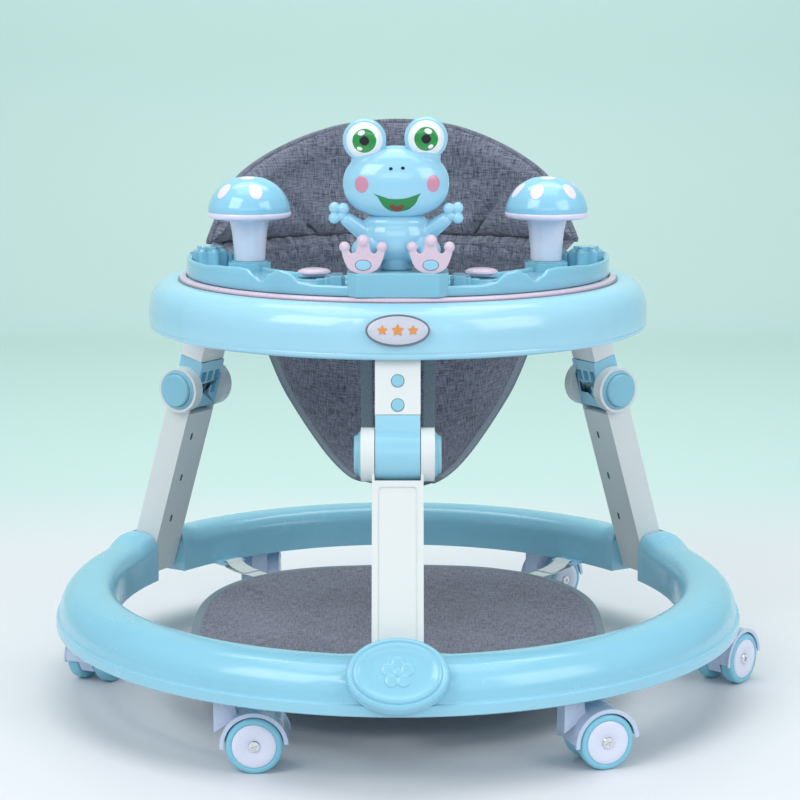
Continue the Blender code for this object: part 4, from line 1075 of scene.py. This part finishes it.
for (ex, ez), gl, tag in zip(EYES, glints, ("left", "right")):
    ec = (HEAD.x + ex, HEAD.y - 0.0040, HEAD.z + ez)
    # flattened lens of an eye: blue rim, white front
    rimp = [(0.0, -0.0150), (0.0120, -0.0125), (0.0178, -0.0060), (0.0194, 0.0), (0.0192, 0.0035), (0.0183, 0.0062), (0.0172, 0.0072), (0.0164, 0.0070), (0.0, 0.0070)]
    whitep = [(0.0, 0.0050), (0.0163, 0.0060), (0.0163, 0.0072), (0.0156, 0.0084), (0.0140, 0.0102), (0.0115, 0.0119), (0.0080, 0.0131), (0.0040, 0.0136), (0.0, 0.0137)]
    face = Matrix.Translation(ec) @ Matrix.Rotation(math.pi / 2, 4, "X")
    shell = moved(lathe(catmull(rimp[:5], 4)[:-1] + rimp[4:], 72), face)
    piece(f"frog_eye_{tag}_socket", shell, "frog", M["frog"], sharp=50)
    white = moved(lathe(whitep, 72), face)
    piece(f"frog_eye_{tag}_white", white, "frog", M["eye_white"], sharp=50)

    def disc(r, dx=0.0, dz=0.0, ry=None, turn=0.0, n=48):
        ry = ry or r
        return [(dx + r * math.cos(q) * math.cos(turn) - ry * math.sin(q) * math.sin(turn), dz + r * math.cos(q) * math.sin(turn) + ry * math.sin(q) * math.cos(turn)) for q in [2 * math.pi * k / n for k in range(n)]]

    iris = fitted(white, disc(0.0106), ec, lift=0.00030)
    piece(f"frog_eye_{tag}_iris", iris, "frog", M["iris"], sharp=60)
    pupil = fitted(white, disc(0.0044), ec, lift=0.00055)
    piece(f"frog_eye_{tag}_pupil", pupil, "frog", M["pupil"], sharp=60)
    piece(f"frog_eye_{tag}_glints", gathered(*[fitted(white, disc(gr, gx, gz, gh, gt, 28), ec, lift=0.00070) for gx, gz, gr, gh, gt in gl]), "frog", M["glint"], sharp=60)


def disc2(cx, cz, rx, rz, n=48):
    return [(cx + rx * math.cos(2 * math.pi * k / n), cz + rz * math.sin(2 * math.pi * k / n)) for k in range(n)]


mouth = catmull([(-0.0205, -0.0088), (-0.0176, -0.0102), (-0.0098, -0.0128), (0.0008, -0.0137), (0.0107, -0.0126), (0.0192, -0.0102), (0.0222, -0.0088),
                 (0.0199, -0.0120), (0.0174, -0.0178), (0.0118, -0.0228), (0.0057, -0.0248), (0.0008, -0.0253), (-0.0045, -0.0246), (-0.0102, -0.0212), (-0.0142, -0.0158), (-0.0163, -0.0120)], 5, closed=True)
piece("frog_mouth", fitted(head_mesh, mouth, HEAD, lift=0.00035, rings=10), "frog", M["mouth"], sharp=60)
tongue = catmull([(-0.0058, -0.0200), (-0.0034, -0.0185), (0.0010, -0.0205), (0.0050, -0.0185), (0.0074, -0.0200), (0.0052, -0.0232), (0.0008, -0.0251), (-0.0036, -0.0232)], 6, closed=True)
piece("frog_tongue", fitted(head_mesh, tongue, HEAD, lift=0.00070), "frog", M["tongue"], sharp=60)
piece("frog_cheeks", gathered(fitted(head_mesh, disc2(-0.0305, -0.0010, 0.0061, 0.0076), HEAD, lift=0.00028), fitted(head_mesh, disc2(0.0330, -0.0004, 0.0058, 0.0076), HEAD, lift=0.00028)), "frog", M["cheek"], sharp=60)
piece("frog_nostrils", gathered(fitted(head_mesh, disc2(-0.0046, 0.0130, 0.0017, 0.0014, 24), HEAD, lift=0.0003), fitted(head_mesh, disc2(0.0060, 0.0135, 0.0018, 0.0014, 24), HEAD, lift=0.0003)), "frog", M["pupil"], sharp=60)

# feet: a cupped palm with three ball toes and an oval inlay
for s, tag in ((-1, "left"), (1, "right")):
    c = Vector((fx + s * 0.0300 + 0.0008, fy - 0.0275, 0.4480))
    palm = catmull([(-0.0190, 0.0060), (-0.0175, -0.0020), (-0.0135, -0.0100), (-0.0065, -0.0142), (0.0, -0.0150), (0.0065, -0.0142), (0.0135, -0.0100), (0.0175, -0.0020), (0.0190, 0.0060),
                    (0.0150, 0.0095), (0.0118, 0.0040), (0.0095, 0.0030), (0.0065, 0.0050), (0.0050, 0.0120), (0.0, 0.0150), (-0.0050, 0.0120), (-0.0065, 0.0050), (-0.0095, 0.0030), (-0.0118, 0.0040), (-0.0150, 0.0095)], 5, closed=True)
    flesh = [moved(prism(palm, -0.0035, 0.0030, "Y"), Matrix.Translation(c))]
    for dx, dz, r in ((-0.0166, 0.0088, 0.0049), (0.0, 0.0140, 0.0060), (0.0166, 0.0088, 0.0049)):
        flesh.append(ball((c.x + dx, c.y - 0.0005, c.z + dz), r, 28, 14))
    fo = piece(f"frog_foot_{tag}", gathered(*flesh), "frog", M["pink"], remesh=0.0006, smooth=3, sharp=180)
    piece(f"frog_foot_{tag}_oval", fitted(RAW[fo.name], disc2(0.0, -0.0072, 0.0068, 0.0044, 44), c, lift=0.00055), "frog", M["frog"], sharp=60)
    # painted shade: a dark ring just round the oval, for the shaded groove about it
    piece(f"frog_foot_{tag}_groove", fitted(RAW[fo.name], disc2(0.0, -0.0072, 0.0074, 0.0050, 44), c, lift=0.00012), "frog", M["badge_rim"], sharp=60)

# ------------------------------------------------------------ fabric
def grid_normals(P):
    n, m = len(P), len(P[0])
    out = []
    for i in range(n):
        row = []
        for j in range(m):
            a = P[min(i + 1, n - 1)][j] - P[max(i - 1, 0)][j]
            b2 = P[i][min(j + 1, m - 1)] - P[i][max(j - 1, 0)]
            q = a.cross(b2)
            row.append(q.normalized() if q.length > 1e-12 else Vector((0, 0, 1)))
        out.append(row)
    return out


def cloth_shell(P, N, front, back, uv, loop=False):
    """A closed sheet from a grid of points: front and back are how far each face stands off the middle."""
    n, m = len(P), len(P[0])
    v, uvs, f = [], [], []
    for sign, off in ((1, front), (-1, back)):
        for i in range(n):
            for j in range(m):
                v.append(P[i][j] + N[i][j] * (sign * off(i, j)))
                uvs.append(uv[i][j])
    w, side = m, n * m
    for i in range(n - 1):
        for j in range(m if loop else m - 1):
            k = (j + 1) % m
            a, b2, c, d = i * w + j, i * w + k, (i + 1) * w + k, (i + 1) * w + j
            f += [(a, b2, c, d), (side + a, side + d, side + c, side + b2)]
    for j in range(m if loop else m - 1):
        k = (j + 1) % m
        f.append((j, side + j, side + k, k))
        e, e2 = (n - 1) * w + j, (n - 1) * w + k
        f.append((e, e2, side + e2, side + e))
    for i in range(0 if loop else n - 1):
        a, b2 = i * w, (i + 1) * w
        f.append((a, b2, side + b2, side + a))
        a, b2 = i * w + m - 1, (i + 1) * w + m - 1
        f.append((a, side + a, side + b2, b2))
    return mesh_of(v, f, uvs=uvs)


def line_dist(px, py, ax, ay, bx, by):
    dx, dy = bx - ax, by - ay
    t2 = max(0.0, min(1.0, ((px - ax) * dx + (py - ay) * dy) / (dx * dx + dy * dy)))
    return math.hypot(px - ax - t2 * dx, py - ay - t2 * dy), t2


def groove_shade(d, width, depth):
    return depth * math.exp(-((d / width) ** 2))


# back rest: a padded arch with a tight seam low down and a dart each side
NV, NT = 56, 150
CREASE = 0.4325


ARCH = [(0.0, 0.5537), (8.0, 0.5522), (17.4, 0.5474), (25.0, 0.5400), (32.5, 0.5306), (42.0, 0.5160), (51.0, 0.4985), (57.0, 0.4790), (61.5, 0.4600), (64.8, 0.4450), (66.2, 0.4375)]


def arch_top(t2):
    x = abs(t2) * 66.2
    for k in range(len(ARCH) - 1):
        if x <= ARCH[k + 1][0] + 1e-9:
            q = [ARCH[max(k - 1, 0)], ARCH[k], ARCH[k + 1], ARCH[min(k + 2, len(ARCH) - 1)]]
            w = (x - q[1][0]) / (q[2][0] - q[1][0])
            m1 = (q[2][1] - q[0][1]) / max(1e-6, q[2][0] - q[0][0]) * (q[2][0] - q[1][0])
            m2 = (q[3][1] - q[1][1]) / max(1e-6, q[3][0] - q[1][0]) * (q[2][0] - q[1][0])
            if k == 0:
                m1 = 0.0
            return -0.0030 + (2 * w ** 3 - 3 * w * w + 1) * q[1][1] + (w ** 3 - 2 * w * w + w) * m1 + (3 * w * w - 2 * w ** 3) * q[2][1] + (w ** 3 - w * w) * m2
    return ARCH[-1][1] - 0.0030


def back_point(t2, z):
    v2 = max(0.0, (z - 0.4250) / 0.135)
    a = math.radians(66.2 * t2 - 3.4 * abs(t2) ** 1.3)
    low = 0.1880 + 0.0175 * abs(t2) ** 2
    r = low + (0.2060 - low) * min(1.0, v2 * 2.0)
    return Vector((r * math.sin(a), r * math.cos(a), z)), Vector((math.sin(a), math.cos(a), 0)), a * r


P, OUT, UVS, T2, Z2 = [], [], [], [], []
for i in range(NV + 1):
    k = i / NV
    prow, orow, urow, trow, zrow = [], [], [], [], []
    for j in range(NT + 1):
        t2 = -1 + 2 * j / NT
        t2 = math.copysign(1 - (1 - abs(t2)) ** 1.35, t2)
        top = arch_top(t2 * 0.999)
        z = CREASE + (top - CREASE) * k
        p, o2, u2 = back_point(t2, z)
        prow.append(p)
        orow.append(o2)
        urow.append((u2, z))
        trow.append(u2)
        zrow.append(z)
    P.append(prow)
    OUT.append(orow)
    UVS.append(urow)
    T2.append(trow)
    Z2.append(zrow)
DARTS = [(0.081, CREASE, 0.132, 0.489), (-0.092, CREASE, -0.143, 0.489)]


def puff(i, j):
    u2, z = T2[i][j], Z2[i][j]
    k = i / NV
    tt = abs(-1 + 2 * j / NT)
    edge = min(1.0, (1 - k) / 0.16) ** 0.5 * min(1.0, (1 - tt) / 0.10) ** 0.5
    low = min(1.0, (z - CREASE) / 0.014) ** 0.5 if z > CREASE else 0.0
    h = 0.0105 * edge * low
    for d in DARTS:
        dist, w = line_dist(u2, z, *d)
        h -= groove_shade(dist, 0.0050, 0.0098 * (1 - w) ** 0.6) * edge
    # pulls that run up from the seam, and a slack, slightly uneven surface
    fade = math.exp(-(z - CREASE) / 0.022)
    h += fade * edge * 0.0030 * noise.noise(Vector((u2 * 62, z * 10, 2.0)))
    h += edge * 0.0022 * noise.noise(Vector((u2 * 16, z * 20, 5.0)))
    return max(0.0009, h)


pad = cloth_shell(P, OUT, lambda i, j: 0.0030, lambda i, j: puff(i, j) + 0.0012, UVS)
bo = piece("seat_back_pad", pad, "tray", M["seat"], "seat", sharp=180)


def inflate(o, hold, pressure=4.0, cap=0.006, frames=20):
    """Lets the pad swell as cloth under a little pressure, holding it at the weights, and keeps the move under the cap."""
    start = [v.co.copy() for v in o.data.vertices]
    group = o.vertex_groups.new(name="hold")
    for i, w in enumerate(hold):
        if w > 0.001:
            group.add([i], w, "REPLACE")
    mod = o.modifiers.new("cloth", "CLOTH")
    s = mod.settings
    s.quality, s.mass = 6, 0.25
    s.tension_stiffness = s.compression_stiffness = 12
    s.shear_stiffness, s.bending_stiffness = 6, 0.6
    s.use_pressure, s.uniform_pressure_force = True, pressure
    s.vertex_group_mass = "hold"
    s.effector_weights.gravity = 0
    mod.collision_settings.use_collision = False
    mod.point_cache.frame_start, mod.point_cache.frame_end = 1, frames
    for k in range(1, frames + 1):
        scene.frame_set(k)
    end = [v.co.copy() for v in baked(o).vertices]
    o.modifiers.clear()
    scene.frame_set(1)
    for v, a, b2 in zip(o.data.vertices, start, end):
        d = b2 - a
        if d.length > cap:
            d = d.normalized() * cap
        v.co = a + d
    o.vertex_groups.clear()
    o.data.update()


hold = []
for _ in (0, 1):
    for i in range(NV + 1):
        for j in range(NT + 1):
            w = 1.0 if i in (0, NV) or j in (0, NT) else 0.0
            for d in DARTS:
                dist, w2 = line_dist(T2[i][j], Z2[i][j], *d)
                if w2 < 0.98:
                    w = max(w, math.exp(-((dist / 0.003) ** 2)))
            w = max(w, math.exp(-(((Z2[i][j] - CREASE) / 0.003) ** 2)), 0.25)
            hold.append(w)
inflate(bo, hold)

# piping round the arch
edge_pts = [Vector(P[i][0]) for i in range(0, NV, 4)] + [Vector(P[NV][j]) for j in range(NT + 1)] + [Vector(P[i][NT]) for i in range(NV - 4, -1, -4)]
edge_pts = [p for k, p in enumerate(edge_pts) if k == 0 or (p - edge_pts[k - 1]).length > 0.0006]
edge_out = [Vector((p.x, p.y, 0)).normalized() for p in edge_pts]
sides = []
for k, p in enumerate(edge_pts):
    d = (edge_pts[min(k + 1, len(edge_pts) - 1)] - edge_pts[max(k - 1, 0)]).normalized()
    sides.append(d.cross(edge_out[k]).normalized())
hem = sweep(edge_pts, sides, edge_out, oval(0.0034, 0.0031, 14, 2.0))
piece("seat_back_hem", hem, "tray", M["seat"], sharp=180)

# painted shade: a dark cord drawn tight into the pad along the sewn crease and the two darts
def crease_line(pairs):
    shells = []
    for (ua, za), (ub, zb) in pairs:
        pts, ups = [], []
        for k in range(61):
            t2, z = ua + (ub - ua) * k / 60, za + (zb - za) * k / 60
            p, o2, _ = back_point(t2, z)
            pts.append(p - o2 * ((0.0040 if za == zb else 0.0028) + 0.0006 * math.sin(t2 * 160)) + Vector((0, 0, 0.0008 * math.sin(t2 * 90))))
            ups.append(o2)
        sides2 = [(pts[min(k + 1, 60)] - pts[max(k - 1, 0)]).normalized().cross(ups[k]).normalized() for k in range(61)]
        shells.append(sweep(pts, sides2, ups, oval(0.0014, 0.0013, 10, 2.0)))
    return gathered(*shells)


piece("seat_back_crease", crease_line([((-0.93, CREASE + 0.0006), (0.93, CREASE + 0.0006)), ((0.385, CREASE), (0.590, 0.4860)), ((-0.385, CREASE), (-0.590, 0.4860))]), "tray", M["crease_shade"], sharp=180)

# gathered skirt between the seam and the sling
P2, U2 = [], []
NG = 20
for i in range(NG + 1):
    k = i / NG
    z = CREASE + 0.0012 - k * 0.0310
    prow, urow = [], []
    for j in range(481):
        t2 = -1 + 2 * j / 480
        p, o2, u2 = back_point(t2, CREASE)
        r0 = math.hypot(p.x, p.y)
        r = r0 + (0.1845 - r0) * (k * k * (3 - 2 * k))
        phase = u2 * 205 + 3.4 * noise.noise(Vector((u2 * 26, 0, 1))) + 1.1 * noise.noise(Vector((u2 * 70, 0, 2)))
        deep = 0.55 + 0.9 * abs(noise.noise(Vector((u2 * 33, 1.5, 4))))
        g = abs(math.sin(phase)) ** 0.8
        amp = 0.0062 * deep * math.sin(math.pi * min(1.0, k * 1.1 + 0.04)) ** 0.6
        bulge = 0.0060 * math.sin(math.pi * min(1.0, k + 0.05))
        r -= bulge + amp * g + 0.0010 * noise.noise(Vector((u2 * 90, z * 90, 3)))
        prow.append(Vector((o2.x * r, o2.y * r, z + 0.0016 * noise.noise(Vector((u2 * 34, 0, 9))) * (1 - k))))
        urow.append((u2, z))
    P2.append(prow)
    U2.append(urow)
skirt = cloth_shell(P2, grid_normals(P2), lambda i, j: 0.0006, lambda i, j: 0.0006, U2)
sk = piece("seat_back_gather", skirt, "tray", M["seat"], sharp=180)

# sling: the seat itself
SEAT_ROWS = [
    ((0.1830, 0.4250), 0.1720, 70.0), ((0.1820, 0.3900), 0.1700, 68.0), ((0.1720, 0.3400), 0.1530, 64.0),
    ((0.1480, 0.2850), 0.1360, 54.0), ((0.1080, 0.2350), 0.1120, 46.0), ((0.0560, 0.2030), 0.0790, 36.0),
    ((0.0050, 0.1930), 0.0500, 26.0), ((-0.0420, 0.2100), 0.0370, 18.0), ((-0.0760, 0.2520), 0.0335, 12.0),
    ((-0.1000, 0.3100), 0.0330, 10.0), ((-0.1100, 0.3650), 0.0340, 8.0), ((-0.1130, 0.4060), 0.0350, 8.0),
]
flatrows = catmull([(y, z, w, q) for (y, z), w, q in SEAT_ROWS], 12)
NS, NC = len(flatrows) - 1, 56
SL, SU = [], []
along_m = 0.0
for i, (y, z, w, wrap) in enumerate(flatrows):
    y0, z0 = flatrows[max(i - 1, 0)][:2]
    y1, z1 = flatrows[min(i + 1, NS)][:2]
    if i:
        along_m += math.dist((y, z), flatrows[i - 1][:2])
    ln = math.hypot(y1 - y0, z1 - z0)
    ny, nz = (z1 - z0) / ln, -(y1 - y0) / ln
    a = math.radians(max(wrap, 2.0))
    radius = w / math.sin(a)
    prow, urow = [], []
    for j in range(NC + 1):
        t2 = -1 + 2 * j / NC
        rise = radius - (radius - 0.0022) * math.cos(a * t2)
        x = (radius - 0.0022) * math.sin(a * t2)
        u2 = radius * a * t2
        # darts and slack
        d1, w1 = line_dist(abs(u2), along_m, 0.070, 0.105, 0.118, 0.096)
        d2, w2 = line_dist(abs(u2), along_m, 0.070, 0.105, 0.086, 0.030)
        dent = groove_shade(d1, 0.0045, 0.0055) + groove_shade(d2, 0.0055, 0.0050 * (1 - 0.6 * w2))
        slack = 0.0035 * noise.noise(Vector((u2 * 17, along_m * 13, 4.0))) + 0.0012 * noise.noise(Vector((u2 * 46, along_m * 30, 8.0)))
        rise -= (dent + slack) * (1 - abs(t2) ** 6) * min(1.0, i / 8)
        prow.append(Vector((x, y + ny * rise, z + nz * rise)))
        urow.append((u2, along_m))
    SL.append(prow)
    SU.append(urow)
SN = grid_normals(SL)
sling = cloth_shell(SL, SN, lambda i, j: 0.0010, lambda i, j: 0.0010, SU)
# painted shade: the sling wears the darkened copy of the seat weave
so = piece("seat_sling", sling, "tray", M["seat_shaded"], sharp=180)
tapes = []


def edge_tape(name, pts, nrm, inward, half=0.0058, thick=0.0021, body="tray", mat=None):
    sides = [v2.normalized() for v2 in inward]
    me2 = sweep([p + s2 * (half * 0.55) for p, s2 in zip(pts, sides)], sides, nrm, oval(half, thick, 16, 3.2))
    return piece(name, me2, body, mat or M["tape"], sharp=180)


for j, tag, step in ((0, "left", 1), (NC, "right", -1)):
    pts = [SL[i][j] for i in range(NS + 1)]
    tapes.append(edge_tape(f"seat_binding_{tag}", pts, [SN[i][j] for i in range(NS + 1)], [SL[i][j + step] - SL[i][j] for i in range(NS + 1)]))


def dart_shade_line(name, pairs, mat, body="tray"):
    """Dark cords laid into the sling at (u, along) pairs: painted shade along the dart grooves."""
    shells = []
    for (ua, la), (ub, lb) in pairs:
        pts, nr = [], []
        for k in range(25):
            u2, l2 = ua + (ub - ua) * k / 24, la + (lb - la) * k / 24
            i = min(range(NS + 1), key=lambda q: abs(SU[q][0][1] - l2))
            j = min(range(NC + 1), key=lambda q: abs(SU[i][q][0] - u2))
            pts.append(SL[i][j].copy())
            nr.append(SN[i][j].copy())
        pts2 = [(pts[max(k - 2, 0)] + pts[max(k - 1, 0)] + pts[k] + pts[min(k + 1, 24)] + pts[min(k + 2, 24)]) / 5 for k in range(25)]
        sides2 = [((pts2[min(k + 1, 24)] - pts2[max(k - 1, 0)]).normalized().cross(nr[k])).normalized() for k in range(25)]
        shells.append(sweep(pts2, sides2, nr, oval(0.0008, 0.0016, 10, 2.0)))
    return piece(name, gathered(*shells), body, mat, sharp=180)


# painted shade: dark cords along the two dart grooves on each side of the sling
dart_shades = dart_shade_line("seat_sling_darts", [((s * 0.070, 0.105), (s * 0.118, 0.096)) for s in (-1, 1)] + [((s * 0.070, 0.105), (s * 0.086, 0.030)) for s in (-1, 1)], M["crease_shade"])
for o in [so, dart_shades, *tapes]:
    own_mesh(o)

# ------------------------------------------------------------ foot mat
def mat_edge(a):
    c, s = math.cos(a), math.sin(a)
    p2 = 2.6
    return (abs(c / 0.2060) ** p2 + abs(s / (0.2180 if s > 0 else 0.2300)) ** p2) ** (-1 / p2)


NR, NA = 26, 160
MP, MU = [], []
for i in range(NR + 1):
    k = (i + 0.02) / (NR + 0.02)
    prow, urow = [], []
    for j in range(NA + 1):
        a = 2 * math.pi * j / NA
        rr = mat_edge(a) * k * 0.992
        x, y = rr * math.cos(a), rr * math.sin(a) - 0.004
        sag = -0.0008 * (1 - k * k) + (0.0016 * noise.noise(Vector((x * 9, y * 9, 1))) + 0.0008 * noise.noise(Vector((x * 30, y * 22, 6)))) * (1 - k ** 4 * 0.6)
        prow.append(Vector((x, y, 0.0590 + sag)))
        urow.append((x, y))
    MP.append(prow)
    MU.append(urow)
up_n = [[Vector((0, 0, 1))] * (NA + 1) for _ in range(NR + 1)]
cloth = cloth_shell([r[:-1] for r in MP], up_n, lambda i, j: 0.0009, lambda i, j: 0.0009, [r[:-1] for r in MU], loop=True)
mo = piece("foot_mat_cloth", cloth, "base", M["mat"], "foot_mat", sharp=180)
ep = [MP[NR][j] for j in range(NA)]
inw = [(Vector((0, -0.004, p.z)) - p).normalized() for p in ep]
bind = sweep([p + n2 * 0.0028 for p, n2 in zip(ep, inw)], inw, [Vector((0, 0, 1))] * NA, oval(0.0048, 0.0017, 16, 3.2), closed=True)
mb = piece("foot_mat_binding", bind, "base", M["tape"], sharp=180)
tongue_pts = [Vector((0, -0.2260 - 0.074 * k / 12, 0.0596)) for k in range(13)]
mt = piece("foot_mat_tongue", sweep(tongue_pts, [Vector((1, 0, 0))] * 13, [Vector((0, 0, 1))] * 13, oval(0.0125, 0.0008, 16, 6.0)), "base", M["tape"], sharp=180)
for s, tag, az_s in ((-1, "left", 133.0), (1, "right", 47.0)):
    q = math.radians(az_s)
    d = Vector((math.cos(q), math.sin(q), 0))
    side = Vector((-math.sin(q), math.cos(q), 0))
    line = catmull([(0.2200, 0.0616), (0.2300, 0.0619), (0.2480, 0.0614), (0.2600, 0.0624), (0.2700, 0.0645), (0.2706, 0.0690), (0.2690, 0.0706), (0.2660, 0.0702), (0.2600, 0.0664), (0.2450, 0.0632), (0.2340, 0.0632)], 5)
    pts = [d * r + Vector((0, 0, z)) for r, z in line]
    ups = []
    for k in range(len(pts)):
        tt = (pts[min(k + 1, len(pts) - 1)] - pts[max(k - 1, 0)]).normalized()
        ups.append(tt.cross(side).normalized())
    piece(f"mat_strap_{tag}_web", sweep(pts, [side] * len(pts), ups, oval(0.0100, 0.00055, 18, 8.0)), "base", M["web"], f"mat_strap_{tag}", sharp=180)

# ------------------------------------------------------------ CAD pieces that show as they are
for name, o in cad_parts.items():
    if name.endswith("_pin"):
        for s2 in o.material_slots:
            s2.material = M["steel"]
